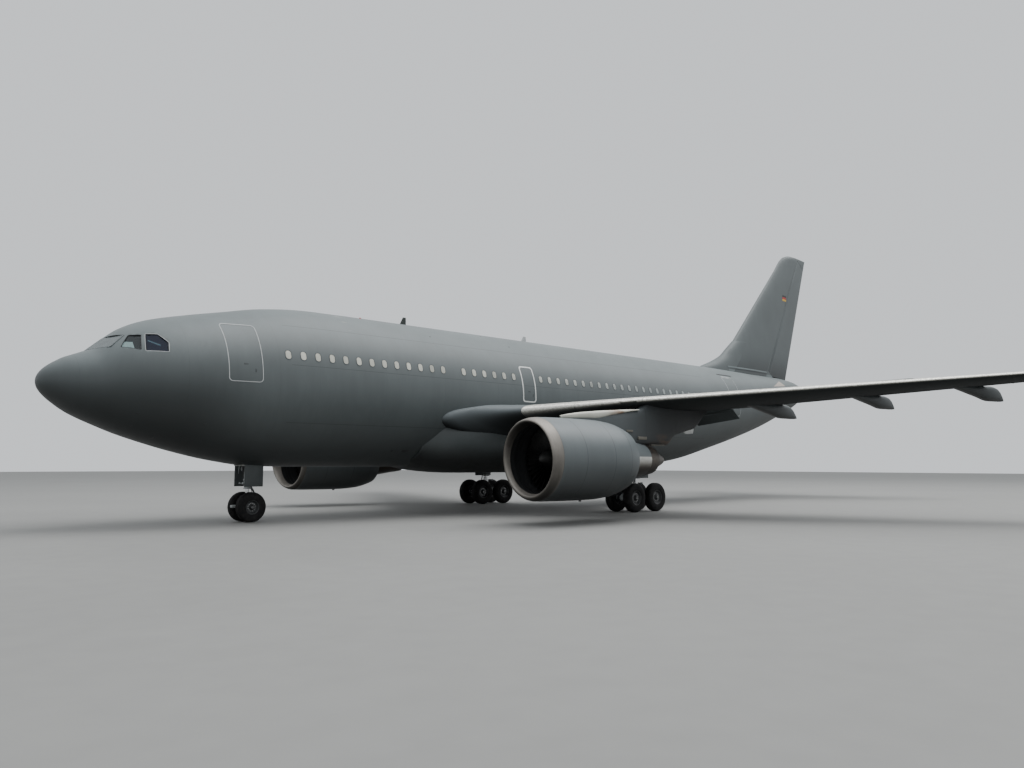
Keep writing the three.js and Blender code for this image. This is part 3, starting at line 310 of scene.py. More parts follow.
class Value:
    """A shader socket that takes part in sums."""

    def __init__(self, finish, socket):
        self.finish, self.socket = finish, socket

    def maths(self, operation, *others):
        node = self.finish.node("Math", {"operation": operation}, dict(enumerate((self, *others))))
        return Value(self.finish, node.outputs[0])

    def flipped(self, operation, other):
        node = self.finish.node("Math", {"operation": operation}, {0: other, 1: self})
        return Value(self.finish, node.outputs[0])

    def __add__(self, other):
        return self.maths("ADD", other)

    def __sub__(self, other):
        return self.maths("SUBTRACT", other)

    def __rsub__(self, other):
        return self.flipped("SUBTRACT", other)

    def __mul__(self, other):
        return self.maths("MULTIPLY", other)

    def __truediv__(self, other):
        return self.maths("DIVIDE", other)

    def __gt__(self, other):
        return self.maths("GREATER_THAN", other)

    def __lt__(self, other):
        return self.maths("LESS_THAN", other)

    __radd__, __rmul__ = __add__, __mul__

    def size(self):
        return self.maths("ABSOLUTE")

    def most(self, other):
        return self.maths("MAXIMUM", other)

    def least(self, other):
        return self.maths("MINIMUM", other)

    def power(self, other):
        return self.maths("POWER", other)

    def ramp(self, low, high):
        """0 below low, 1 above high, and smooth between them."""
        node = self.finish.node(
            "MapRange", {"interpolation_type": "SMOOTHSTEP", "clamp": True},
            {"Value": self, "From Min": low, "From Max": high},
        )
        return Value(self.finish, node.outputs[0])

    def near(self, centre, width):
        """1 at a centre, falling to 0 at a width from it."""
        return (1 - (self - centre).size() / width).most(0.0)

    def inside(self, low, high):
        return (self > low) * (self < high)


class Finish:
    """A material built from nodes. Its x, y and z are the piece's own coordinates, in metres."""

    def __init__(self, name):
        self.material = bpy.data.materials.new(name)
        self.material.use_nodes = True
        self.tree = self.material.node_tree
        self.tree.nodes.clear()
        self.shader = self.node("BsdfPrincipled")
        output = self.node("OutputMaterial")
        self.tree.links.new(self.shader.outputs[0], output.inputs["Surface"])
        self.place = self.node("TexCoord").outputs["Object"]
        axes = self.node("SeparateXYZ", None, {0: self.place})
        self.x, self.y, self.z = (Value(self, axes.outputs[i]) for i in range(3))

    def node(self, kind, settings=None, sockets=None):
        """Any node: its settings first, then the values or links of its sockets."""
        made = self.tree.nodes.new("ShaderNode" + kind)
        for key, value in (settings or {}).items():
            setattr(made, key, value)
        for key, value in (sockets or {}).items():
            self.feed(made.inputs[key], value)
        return made

    def feed(self, socket, value):
        if isinstance(value, Value):
            value = value.socket
        if isinstance(value, bpy.types.NodeSocket):
            self.tree.links.new(value, socket)
        else:
            socket.default_value = value

    def stretched(self, scale):
        return self.node("Mapping", None, {"Vector": self.place, "Scale": scale}).outputs[0]

    def noise(self, scale, detail=2.0, stretch=(1, 1, 1), roughness=0.5):
        sockets = {"Vector": self.stretched(stretch), "Scale": scale, "Detail": detail, "Roughness": roughness}
        return Value(self, self.node("TexNoise", None, sockets).outputs["Fac"])

    def spots(self, scale, stretch=(1, 1, 1)):
        sockets = {"Vector": self.stretched(stretch), "Scale": scale}
        return Value(self, self.node("TexVoronoi", None, sockets).outputs["Distance"])

    def mixed(self, a, b, share, kind="MIX"):
        """Colour between two colours, which may be sockets."""
        made = self.node("Mix", {"data_type": "RGBA", "blend_type": kind}, {0: share, 6: a, 7: b})
        return made.outputs[2]

    def scaled(self, colour, factor):
        """A colour made darker or paler by a factor."""
        return self.mixed(colour, factor, 1.0, "MULTIPLY")

    def upward(self):
        """How far the surface faces up, from -1 to 1."""
        return Value(self, self.node("Attribute", {"attribute_name": "upward"}).outputs["Fac"])

    def weathered(self, colour, below=0.28, above=1.3, level=0.1):
        """Painted light where the surface faces up, and painted shade where it faces down."""
        upward = self.upward()
        factor = upward.ramp(-1.05, level) * (1 - below) + upward.ramp(0.15, 0.95) * (above - 1) + below
        return self.scaled(colour, factor)

    def done(self, colour, roughness, metallic=0.0, bump=None, strength=0.2, depth=0.002, fixed=None):
        """Feeds the shader, where fixed holds the numbers that are the same all over, and gives the material."""
        sockets = {"Base Color": colour, "Roughness": roughness, "Metallic": metallic, **(fixed or {})}
        if bump is not None:
            made = self.node("Bump", None, {"Strength": strength, "Distance": depth, "Height": bump})
            sockets["Normal"] = made.outputs[0]
        for key, value in sockets.items():
            self.feed(self.shader.inputs[key], value)
        return self.material


def tone(red, green, blue):
    return (red, green, blue, 1.0)


def shade(colour, factor):
    return (*(channel * factor for channel in colour[:3]), 1.0)


def metres(station):
    """Place of a station along the frame."""
    return (station - ORIGIN_STATION) / 1000


def lines(value, places, width):
    """Thin lines where a value passes any of these places."""
    found = value.near(places[0], width)
    for other in places[1:]:
        found = found.most(value.near(other, width))
    return found


def rings_at(f, stations, width):
    """Thin lines across the plane, one at each station."""
    return lines(f.x, [metres(station) for station in stations], width)


SEAM = 0.004


def paint_finish(name, colour, seams=None, tone_change=None, gloss=0.48, below=0.28, level=0.1, above=1.3):
    """Matt aircraft paint: soft mottling, rain streaks down the sides, dark panel seams and a fine grain, with
    painted light on top and painted shade below.
    """
    f = Finish(name)
    broad = f.noise(0.5, 3)
    patches = f.noise(2.2, 4, (1, 1, 0.6))
    streaks = f.noise(3.5, 5, (2.2, 2.2, 0.16), 0.6)
    grain = f.noise(160, 2)
    share = broad * 0.5 + patches * 0.3 + streaks * 0.35
    base = f.mixed(shade(colour, 0.86), shade(colour, 1.12), share.ramp(0.35, 0.8))
    height = grain * 0.15 + patches * 0.5
    if seams:
        seam = seams(f)
        base = f.mixed(base, shade(colour, 0.42), seam * 0.8)
        height = height - seam * 2.0
    # The tone change adds stains, and on some skins painted light or painted shade
    if tone_change:
        base = tone_change(f, base)
    # Painted light on faces that look up, painted shade on faces that look down
    base = f.weathered(base, below, above, level)
    return f.done(base, (streaks * 0.16 + gloss - 0.06).least(0.95), 0.0, height, 0.25, 0.0015)


BLUE_GREY = tone(0.096, 0.112, 0.114)
DARK_BLUE_GREY = tone(0.125, 0.142, 0.148)
# Darker than the fuselage's grey, as painted shade under the belly
BELLY_GREY = tone(0.055, 0.064, 0.065)
NACELLE_GREY = tone(0.135, 0.156, 0.162)
CREAM = tone(0.62, 0.62, 0.54)


# Stations of the rings of seams, and heights of the long ones
RING_SEAMS = (560, 1920, 3300, 4000, 5325, 6650, 8000, 9550, 11050, 12500, 14100, 15600, 17500, 18600, 20100, 21500)
LONG_SEAMS = (3292, 2595, 1660)


# Seams of each painted skin, as masks
def fuselage_seams(f):
    rings = rings_at(f, RING_SEAMS, SEAM)
    sides = lines(f.z, [height / 1000 for height in LONG_SEAMS], SEAM * 2) * f.x.inside(metres(3500), metres(15600))
    return (rings * 0.35).most(sides)


def fin_foot_light(f, base):
    """Painted light on the foot of the fin, where it flares out to the fuselage."""
    return f.mixed(base, shade(BLUE_GREY, 1.6), (f.z < 3.795) * (f.x > metres(18250)))


def tail_plate(f):
    """Beige three-cornered plate above the tailplane."""
    aft, up = f.x - metres(19945), f.z - 3.348
    return (up - aft * 0.295 < 0) * (up - aft * 0.082 > 0) * (aft + up * 1.58 < 1.108)


def fuselage_dirt_and_shade(f, base):
    """Dirt under the belly, drawn out along the airflow, and painted shade on the lower half of the nose."""
    under = 1 - f.z.ramp(1.0, 1.9)
    grime = f.noise(1.6, 5, (0.25, 1, 1), 0.6).ramp(0.42, 0.7) * under
    # Painted shade on the lower half of the nose, which faces down and forward
    nose = (1 - f.x.ramp(metres(1900), metres(3300))) * (1 - f.z.ramp(1.9, 2.85))
    base = f.mixed(f.mixed(base, tone(0.05, 0.052, 0.05), grime * 0.5), tone(0.022, 0.027, 0.028), nose * 0.72)
    return f.mixed(base, tone(0.31, 0.27, 0.235), tail_plate(f))


def wing_seams(f):
    span = f.y.size()
    ribs = lines(span, (2.065, 3.4, 4.12, 5.3, 6.7, 8.1, 9.3, 10.5), SEAM * 0.8)
    spar = lines(f.x - span * 0.452, (metres(7305), metres(9245)), SEAM * 0.8) * (span > 2.0)
    return ribs.most(spar).most(flap_gap(f, span))


def flap_gap(f, span):
    """Gap in front of the flaps, along their straight front edges."""
    inner = f.x - (span - 1.540) * 0.1515 - metres(11050)
    outer = f.x - (span - 4.450) * 0.4127 - metres(11479)
    found = inner.near(0.0, SEAM) * span.inside(1.4, 3.335)
    return found.most(outer.near(0.0, SEAM) * span.inside(4.45, 8.7))


def slat_edge(f, span):
    """How far a point lies behind the back edge of the slats."""
    inner = f.x - (span - 2.065) * 0.5316 - metres(8490)
    outer = f.x - (span - 4.150) * 0.5661 - metres(9634)
    outboard = span > 3.97
    return inner * (1 - outboard) + outer * outboard


def slat_notch(f, span):
    """Dark notch under the leading edge, over the engine pylon."""
    depth = f.x - (span - 2.065) * 0.6021 - metres(7990)
    return span.inside(3.7, 3.96) * (depth < 0.15) * (f.upward() < -0.1)


def wing_finish(name):
    """Grey wing with bare metal leading edges, worn along the front, and a dark root, with painted light on top and
    painted shade underneath.
    """
    f = Finish(name)
    span = f.y.size()
    broad, patches = f.noise(0.6, 3), f.noise(2.5, 4)
    streaks = f.noise(4.0, 4, (0.15, 2.5, 1), 0.6)
    brushed = f.noise(9, 5, (0.4, 3, 3), 0.65)
    share = broad * 0.5 + patches * 0.3 + streaks * 0.3
    grey = f.mixed(shade(BLUE_GREY, 0.9), shade(BLUE_GREY, 1.25), share.ramp(0.35, 0.75))
    edge = slat_edge(f, span)
    front = edge < 0
    metal = front * span.inside(2.065, 10.5) * f.upward().ramp(-0.93, -0.55)
    root = front * (span < 2.065)
    bare = f.mixed(tone(0.52, 0.51, 0.47), tone(0.82, 0.81, 0.75), brushed.ramp(0.3, 0.75))
    # Painted shade on the underside and painted light on top
    colour = f.mixed(f.weathered(grey, 0.15, 1.15), f.weathered(DARK_BLUE_GREY, 0.05, 1.2, 0.45), root)
    colour = f.mixed(colour, f.weathered(bare, 0.1, 1.1, -0.05), metal)
    seam = wing_seams(f).most(edge.near(0.0, SEAM) * span.inside(2.0, 10.5))
    seam = seam.most(front * lines(span, (2.95, 4.05), SEAM * 2)).most(slat_notch(f, span))
    colour = f.mixed(colour, tone(0.03, 0.034, 0.036), seam * 0.75)
    rough = (0.5 + streaks * 0.12) * (1 - metal) + metal * (brushed * 0.25 + 0.3)
    under = 1 - f.upward().ramp(-0.7, 0.2)
    rough = rough + under * (0.9 - rough)
    return f.done(colour, rough, metal * 0.8, patches * 0.4 - seam * 2, 0.25, 0.0015, {"Specular IOR Level": 0.2})


def nacelle_inside_shade(f, base):
    """Painted shade: black inside of the fan cowl, deep in the intake."""
    across, up = f.y.size() - ENGINE_SPAN / 1000, f.z - ENGINE_HEIGHT / 1000
    inside = ((across * across + up * up).power(0.5) < 0.608) * (f.x < metres(7900))
    return f.mixed(base, tone(0.01, 0.011, 0.012), inside)


def core_finish(name):
    """Core cowl of the engine: painted above, bare metal below, browner downwards and in bands, with painted shade on
    faces that look down.
    """
    f = Finish(name)
    brushed, haze = f.noise(24, 5, (0.2, 1, 1), 0.7), f.noise(3, 4)
    painted = f.z > 1.13
    bright = f.mixed(tone(0.42, 0.41, 0.38), tone(0.72, 0.71, 0.66), (brushed * 0.5 + haze * 0.6).ramp(0.3, 0.8))
    bare = f.mixed(tone(0.14, 0.115, 0.09), bright, f.z.ramp(0.9, 1.06))
    paint = f.mixed(shade(NACELLE_GREY, 0.8), shade(NACELLE_GREY, 1.1), haze)
    colour = f.weathered(f.mixed(bare, paint, painted), 0.15, 1.05, 0.4)
    metal = 1 - painted
    return f.done(colour, metal * -0.12 + brushed * 0.15 + 0.36, metal * 0.85, brushed, 0.12, 0.0008)


def nacelle_seams(f):
    rings = rings_at(f, (6990, 7700, 8180), SEAM * 3)
    below = (f.z - ENGINE_HEIGHT / 1000) < -0.3
    keel = (f.y.size() - ENGINE_SPAN / 1000).near(0.0, SEAM) * below
    latch = f.x.inside(metres(6970), metres(8500))
    return rings.most(keel * latch)


def pylon_seams(f):
    return rings_at(f, (9250, 10142), SEAM * 2)


def pylon_shadow_and_stain(f, base):
    """Painted shadow of the wing towards the back of the pylon, with a brown stain over the nozzle."""
    wing_shadow = f.x.ramp(metres(7900), metres(10300))
    stain = f.noise(6, 4, (0.4, 1, 1)).ramp(0.4, 0.7) * f.x.near(metres(9800), 0.5) * f.z.near(1.42, 0.16)
    return f.mixed(f.mixed(base, tone(0.012, 0.013, 0.014), wing_shadow * 0.95), tone(0.12, 0.07, 0.04), stain)


def cream_wear(f, base):
    """Rusty stain along the back of the fairing on top of the pylon."""
    stain = f.noise(9, 4, (0.5, 1, 1)).ramp(0.35, 0.6) * f.x.near(metres(8550), 0.45)
    return f.mixed(base, tone(0.22, 0.11, 0.05), stain * 0.85)


def metal_finish(name, dark, pale, rough=0.3, scale=7.0, stretch=(1, 1, 1), stain=None, metallic=0.9, below=0.3,
                 level=0.1):
    """Bare metal with brushing, patches of haze and darker stains, with painted light on top and painted shade below.
    """
    f = Finish(name)
    brushed = f.noise(scale * 4, 5, stretch, 0.7)
    haze = f.noise(scale * 0.5, 4)
    colour = f.mixed(dark, pale, (brushed * 0.5 + haze * 0.6).ramp(0.3, 0.8))
    if stain:
        colour = f.mixed(colour, stain, f.noise(scale, 5, stretch, 0.65).ramp(0.55, 0.75) * 0.6)
    roughness = haze * 0.25 + (brushed * 0.15 + rough - 0.15)
    return f.done(f.weathered(colour, below, 1.1, level), roughness, metallic, brushed, 0.12, 0.0008)


def plain_finish(name, colour, rough=0.6, scale=30.0, tone_change=0.3, metallic=0.0, below=0.6):
    """Painted or moulded part with a fine grain, worn or dusty in patches, with painted light on top and painted
    shade below.
    """
    f = Finish(name)
    grain, patches = f.noise(scale * 6, 3), f.noise(scale * 0.4, 4)
    worn = f.mixed(shade(colour, 1 - tone_change), shade(colour, 1 + tone_change), (grain * 0.4 + patches * 0.7).ramp(0.3, 0.8))
    return f.done(f.weathered(worn, below, 1.1), patches * 0.25 + (rough - 0.12), metallic, grain, 0.15, 0.0008)


def rubber_finish(name):
    """Black rubber, browner and dusty in patches."""
    f = Finish(name)
    dust, grain = f.noise(12, 5, (1, 1, 1), 0.7), f.noise(220, 2)
    colour = f.mixed(tone(0.006, 0.006, 0.0065), tone(0.022, 0.021, 0.02), dust.ramp(0.4, 0.75))
    return f.done(colour, dust * 0.2 + 0.62, 0.0, grain, 0.3, 0.001, {"Specular IOR Level": 0.2})


def glass_finish(name, colour, alpha):
    f = Finish(name)
    haze = f.noise(3, 3)
    tint = f.mixed(shade(colour, 0.8), shade(colour, 1.3), haze.ramp(0.3, 0.7))
    return f.done(tint, haze * 0.06 + 0.03, fixed={"Alpha": alpha, "Specular IOR Level": 0.8})


def windscreen_finish(name):
    """Cockpit glass with painted reflections and shade: pale in front, darker and bluer at the side, with pale
    reflections low in the side windows.
    """
    f = Finish(name)
    haze = f.noise(3, 3)
    tint = f.mixed(tone(0.13, 0.155, 0.16), tone(0.19, 0.22, 0.225), haze.ramp(0.3, 0.7))
    tint = f.mixed(tint, tone(0.035, 0.042, 0.045), (f.y.size() > 0.5) * (f.x > metres(1060)))
    tint = f.mixed(tint, tone(0.012, 0.017, 0.034), f.x > metres(1364))
    # Painted reflection: pale patches low in the side windows
    low_reflection = f.x.inside(metres(1085), metres(1236)) * (f.z < 2.815) * (f.y.size() > 0.5)
    streak = (f.z - 2.845 + (f.x - metres(1430)) * 0.5).near(0.0, 0.02) * f.x.inside(metres(1425), metres(1570))
    tint = f.mixed(tint, tone(0.3, 0.42, 0.42), low_reflection * 0.9)
    tint = f.mixed(tint, tone(0.09, 0.16, 0.2), streak)
    return f.done(tint, haze * 0.06 + 0.05, fixed={"Alpha": 0.8, "Specular IOR Level": 0.45})


def shade_finish(name):
    """Cream window shades behind the cabin panes, each a little different, with painted shade that greys them towards
    the tail.
    """
    f = Finish(name)
    drawn = f.spots(1.9, (1, 0.01, 0.01))
    glow = f.noise(60, 3)
    # Painted shade: the shades turn greyer towards the tail
    tint = f.mixed(CREAM, tone(0.26, 0.29, 0.285), f.x.ramp(metres(6500), metres(13500)))
    colour = f.scaled(tint, (drawn * 0.8 + glow * 0.4).ramp(0.2, 0.9) * 0.35 + 0.62)
    return f.done(colour, glow * 0.1 + 0.18, 0.0, glow, 0.08, 0.0005, {"Coat Weight": 0.4})


# In these finishes the below, level and above numbers set the painted shade on faces that look down and the painted
# light on faces that look up; the fuselage gets the strongest painted sheen on its crown
PAINT = paint_finish("blue_grey_paint", BLUE_GREY, fuselage_seams, fuselage_dirt_and_shade, above=1.6)
TAIL_PAINT = paint_finish("tail_paint", shade(BLUE_GREY, 0.93), below=0.12)
FIN_PAINT = paint_finish("fin_paint", shade(BLUE_GREY, 0.93), tone_change=fin_foot_light, below=0.12)
STRIP_PAINT = paint_finish("strip_paint", shade(BLUE_GREY, 1.75), below=0.3)
# Darker grey, as painted shade under the wing
TRACK_PAINT = paint_finish("track_paint", shade(BLUE_GREY, 0.6), below=0.1, level=0.6)
BELLY_PAINT = paint_finish("belly_paint", BELLY_GREY, below=0.15)
NACELLE_PAINT = paint_finish("nacelle_paint", shade(NACELLE_GREY, 0.92), nacelle_seams, nacelle_inside_shade, 0.42, 0.12,
                             0.55)
# The pylon's grey is darkened as painted shade under the wing
PYLON_PAINT = paint_finish("pylon_paint", shade(NACELLE_GREY, 0.62), pylon_seams, pylon_shadow_and_stain, gloss=0.55, below=0.2)
DARK_PAINT = plain_finish("dark_antenna_paint", tone(0.02, 0.028, 0.024), 0.6)
CREAM_PAINT = paint_finish("cream_paint", shade(CREAM, 0.8), tone_change=cream_wear, below=0.5)
WING_SKIN = wing_finish("wing_skin")
LIP_METAL = metal_finish("lip_metal", tone(0.22, 0.205, 0.185), tone(0.34, 0.315, 0.285), 0.5, 6, (1, 0.3, 0.3),
                         tone(0.14, 0.12, 0.10), 0.7, 0.1, 0.7)
CORE_COWL = core_finish("core_cowl_metal")
SOOTY_METAL = metal_finish("sooty_metal", tone(0.10, 0.095, 0.08), tone(0.2, 0.19, 0.165), 0.6, 9,
                           stain=tone(0.06, 0.05, 0.04), metallic=0.3)
HOT_METAL = metal_finish("hot_metal", tone(0.07, 0.062, 0.055), tone(0.17, 0.15, 0.13), 0.42, 6, (0.3, 1, 1),
                         tone(0.2, 0.14, 0.09))
# Near-black fan: painted shade deep inside the intake
SHADED_FAN_METAL = metal_finish("fan_metal", tone(0.022, 0.022, 0.022), tone(0.06, 0.06, 0.058), 0.5, 9)
# Near-black: painted shade inside the engine intake and inside the tail exhaust
DUCT_LINER = plain_finish("duct_liner", tone(0.014, 0.015, 0.016), 0.75, 20)
STRUT_PAINT = plain_finish("strut_paint", tone(0.36, 0.38, 0.38), 0.45, 16, 0.25)
DARK_FITTING = plain_finish("dark_fitting", tone(0.03, 0.032, 0.034), 0.5, 24)
CHROME = metal_finish("chromed_rod", tone(0.6, 0.6, 0.6), tone(0.8, 0.8, 0.8), 0.12, 12)
HUB_PAINT = plain_finish("hub_paint", tone(0.034, 0.036, 0.037), 0.5, 30, 0.4)
RUBBER = rubber_finish("tyre_rubber")
HOSE_RUBBER = plain_finish("hose_rubber", tone(0.02, 0.02, 0.021), 0.55, 40)
WINDSCREEN_GLASS = windscreen_finish("windscreen_glass")
LAMP_GLASS = glass_finish("lamp_glass", tone(0.5, 0.52, 0.52), 0.75)
CABIN_SHADE = shade_finish("cabin_shade")
PALE_LINE = plain_finish("pale_line", tone(0.42, 0.44, 0.44), 0.5, 20, 0.15)
WHITE_LINE = plain_finish("white_line", tone(0.75, 0.76, 0.74), 0.5, 20, 0.1)
WINDOW_RIM = plain_finish("window_rim", tone(0.055, 0.063, 0.066), 0.4, 20, 0.2)
TRIM = plain_finish("flight_deck_trim", tone(0.045, 0.05, 0.052), 0.7, 14, 0.25)
SEAT_COVER = plain_finish("seat_cover", tone(0.42, 0.55, 0.5), 0.7, 20)
HOLD_LINER = plain_finish("hold_liner", tone(0.34, 0.35, 0.33), 0.6, 5, 0.15)
BAY_PAINT = plain_finish("bay_paint", tone(0.42, 0.43, 0.40), 0.6, 7, 0.25)
RED_LAMP = plain_finish("red_lamp", tone(0.45, 0.02, 0.015), 0.2, 40, 0.15)
GREEN_LAMP = plain_finish("green_lamp", tone(0.02, 0.3, 0.1), 0.2, 40, 0.15)
BLACK_STRIPE = plain_finish("black_stripe", tone(0.012, 0.012, 0.012), 0.5)
RED_STRIPE = plain_finish("red_stripe", tone(0.4, 0.02, 0.015), 0.5)
GOLD_STRIPE = plain_finish("gold_stripe", tone(0.6, 0.36, 0.03), 0.5)


# Fuselage

# How far the skin's outer and inner side lie outside the tables
SKIN_PROUD, SKIN_INNER = 1.5, -12
# Stations of the skin's rings, closest at the nose tip
BODY_STATIONS = [
    *(NOSE_TIP + 590 * share ** 2.4 for share in spread(0, 1, 24)), 745, *spread(780, 1620, 21),
    *spread(1700, 4250, 17), *spread(4400, 13600, 12), *spread(13750, 22550, 40),
]
# How many of them, from the tip, the inner side leaves out
SOLID_TIP = 8
# How far aft of the last station, and share of its size, for the rings of the blunt end and of the exhaust in it
TAIL_END = (
    (-12, 1), (8, 1), (34, 0.93), (62, 0.77), (80, 0.57), (86, 0.47), (84, 0.43), (70, 0.42), (-10, 0.41),
)
# Station, distance from the middle and height of each corner of the cockpit panes
WINDSCREEN = ((762, 26, 2690), (1010, 26, 2908), (1172, 468, 2925), (972, 497, 2727))
SIDE_WINDOW = ((1077, 622, 2725), (1207, 515, 2925), (1360, 632, 2931), (1312, 820, 2683))
AFT_WINDOW = ((1366, 853, 2672), (1413, 650, 2948), (1562, 742, 2955), (1679, 902, 2818), (1661, 978, 2672))
COCKPIT_WINDOWS = (WINDSCREEN, SIDE_WINDOW, AFT_WINDOW)
# Metres by which the corners of the panes are rounded
PANE_CORNER = 0.014
# Name, start, end, low and high of each cargo door
CARGO_DOORS = (("cargo_door_front", 4450, 5795, 1190, 1990), ("cargo_door_rear", 13500, 14405, 1210, 1990))
# Thickness of a leaf, the gap round it, and how much lower its top edge is, so that it swings past its hinge
CARGO_THICK, MOVING_GAP, TOP_RELIEF = 34, 6, 22
# How far from the middle the space of a cargo door begins and ends
DOORWAY_INNER, DOORWAY_OUTER = 300, 1700
# Start, end, half width, low and high of the nose gear's bay
NOSE_BAY = (3290, 3650, 170, 800, 1350)
# Stations round the cockpit windows, and front and back of the flight deck's liner with its two sides
COCKPIT_START, COCKPIT_END = 700, 1800
LINER_FRONT, LINER_BACK, LINER_OUT, LINER_IN = 770, 2240, -58, -66
# Start, end, half width, low, high and soft radius of a seat's back and head rest, and their distance from the middle
SEAT_PARTS, SEAT_SPAN = ((1560, 1620, 115, 2330, 2660, 0.02), (1570, 1612, 62, 2668, 2760, 0.015)), 280


def body_row(station):
    """Middle height, half height and half width of the fuselage."""
    low, high, half = FUSELAGE.smooth(station)
    return (low + high) / 2, (high - low) / 2, half


def body_ring(station, grow=0.0, count=AROUND):
    middle, tall, half = body_row(station)
    return [place(station, (half + grow) * math.cos(a), middle + (tall + grow) * math.sin(a)) for a in circle(count)]


def on_skin(sign, station, height, out=0.0):
    """A point on the side of the fuselage, moved out from the skin."""
    middle, tall, half = body_row(station)
    rise = max(-0.999, min(0.999, (height - middle) / tall))
    y = half * math.sqrt(1 - rise * rise)
    normal = Vector((0, y / half ** 2, rise / tall)).normalized()
    point = place(station, y, height) + normal * (out + SKIN_PROUD) / 1000
    point.y *= sign
    return point


def shell(stations, outer, inner):
    """Wall of the fuselage between two offsets from its tables, closed all round at both ends."""
    there = [body_ring(station, outer) for station in stations]
    back = [body_ring(station, inner) for station in reversed(stations)]
    return made_by(lambda bm: add_loft(bm, there + back, cyclic=True))


def window_prisms(grow, windows=COCKPIT_WINDOWS, reach=0.26, inward=0.0):
    """Prisms through the windows of both sides, with round corners, wider than the panes by grow."""
    bm = bmesh.new()
    for corners in windows:
        for _, sign in SIDES:
            points = [place(station, sign * y, height) for station, y, height in corners]
            centre = sum(points, Vector()) / len(points)
            normal = (points[1] - points[0]).cross(points[2] - points[0]).normalized()
            if normal.y * sign < 0:
                normal = -normal
            wide = [point + (point - centre).normalized() * grow for point in points]
            before = set(bm.verts)
            verts = [bmesh.ops.create_vert(bm, co=point - normal * (reach + inward))["vert"][0] for point in wide]
            bmesh.ops.contextual_create(bm, geom=verts)
            bmesh.ops.bevel(bm, geom=verts, offset=PANE_CORNER + grow, segments=4, affect="VERTICES", profile=0.5,
                            material=-1)
            push(bm, [face for face in bm.faces if not before.intersection(face.verts)], normal * 2 * reach)
    return bm


def add_doorway(bm, door, gap=0, relief=0):
    """Space of a cargo door, narrower by a gap all round and lower at the top by a relief."""
    _, start, end, low, high = door
    top = high - gap - relief
    add_box(bm, place(start + gap, DOORWAY_INNER, low + gap), place(end - gap, DOORWAY_OUTER, top))


def build_fuselage():
    there = [body_ring(station, SKIN_PROUD) for station in BODY_STATIONS]
    back = [body_ring(station, SKIN_INNER) for station in reversed(BODY_STATIONS[SOLID_TIP:])]
    start, end, half, low, high = NOSE_BAY
    openings = window_prisms(0)
    add_box(openings, place(start, -half, low), place(end, half, high))
    for door in CARGO_DOORS:
        add_doorway(openings, door)
    skin = shaped("skin", made_by(lambda bm: add_loft(bm, there + back)), ("DIFFERENCE", openings))
    hidden = ["radome", "nose_section", "centre_fuselage", "tail_cone"]
    hidden += [f"{door}_{side}" for door in ("door_front", "exit_overwing", "door_rear") for side, _ in SIDES]
    piece("fuselage_skin", skin, PAINT, replaces=hidden, crease=40)

    ring = body_ring(BODY_STATIONS[-1], -5)
    centre = sum(ring, Vector()) / len(ring)
    ends = [[centre + (point - centre) * size + X * back / 1000 for point in ring] for back, size in TAIL_END]
    piece("tail_end", made_by(lambda bm: add_loft(bm, ends)), PAINT, crease=40)
    exhaust = made_by(lambda bm: add_rod(bm, centre - X * 0.012, centre + X * 0.002, 0.094, facets=40))
    piece("tail_exhaust", exhaust, DUCT_LINER)


def build_cockpit():
    """Panes with their frames and seals, and the liner, seats and shelf seen through them."""
    for name, windows, grow, inward, hidden in (
        ("cockpit_glass", COCKPIT_WINDOWS[1:], 0.012, 0.006, ["cockpit_glazing"]),
        ("windscreen_glass", (WINDSCREEN,), 0.006, -0.011, []),
    ):
        panes = window_prisms(grow, windows, 0.003, inward)
        piece(name, panes, WINDSCREEN_GLASS, replaces=hidden, crease=40)
    # Windows of each band, how far its edges lie outside the panes, and how far it stands out of the skin
    for name, finish, windows, outer, inner, proud in (
        ("cockpit_window_frames", PALE_LINE, (AFT_WINDOW,), 0.012, 0, 4),
        ("cockpit_window_edges", WINDOW_RIM, COCKPIT_WINDOWS[:2], 0.007, 0, 4),
        ("cockpit_window_seals", BLACK_STRIPE, COCKPIT_WINDOWS, 0, -0.009, -1),
    ):
        band = shaped(name, shell(spread(COCKPIT_START, COCKPIT_END, 32), proud, -6),
                      ("INTERSECT", window_prisms(outer, windows)), ("DIFFERENCE", window_prisms(inner, windows)))
        piece(name, band, finish, crease=40)
    room = spread(LINER_BACK, LINER_FRONT, 20)
    cup = [body_ring(station, LINER_OUT, 48) for station in room]
    cup += [body_ring(station, LINER_IN, 48) for station in [*reversed(room[1:]), LINER_BACK - 8]]
    liner = shaped("liner", made_by(lambda bm: add_loft(bm, cup)), ("DIFFERENCE", window_prisms(0.012)))
    piece("flight_deck_liner", liner, TRIM, crease=40)
    shelf = made_by(lambda bm: add_box(bm, place(1060, -430, 2560), place(1190, 430, 2640), 0.02))
    seats = bmesh.new()
    for _, sign in SIDES:
        for start, end, half, low, high, soft in SEAT_PARTS:
            y = sign * SEAT_SPAN
            add_box(seats, place(start, y - half, low), place(end, y + half, high), soft)
    piece("flight_deck_seats", seats, SEAT_COVER)
    piece("flight_deck_shelf", shelf, SEAT_COVER)


def line_rooms():
    """Finishes of the rooms that stay as the plain model has them."""
    for node, finish in (("forward_fuselage", HOLD_LINER), ("aft_fuselage", HOLD_LINER), ("flight_deck", TRIM)):
        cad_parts[node].data.materials.clear()
        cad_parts[node].data.materials.append(finish)


def build_cargo_doors():
    """Leaves that are straight from end to end, as their hinges are."""
    for door in CARGO_DOORS:
        name, start, end = door[:3]
        space = made_by(lambda bm: add_doorway(bm, door, MOVING_GAP, TOP_RELIEF))
        leaf = shaped(name, shell([start - 1, end + 1], 0.5, -CARGO_THICK), ("INTERSECT", space))
        piece(f"{name}_leaf", leaf, PAINT, body=name, replaces=[name], crease=40)


# Outlines on the skin

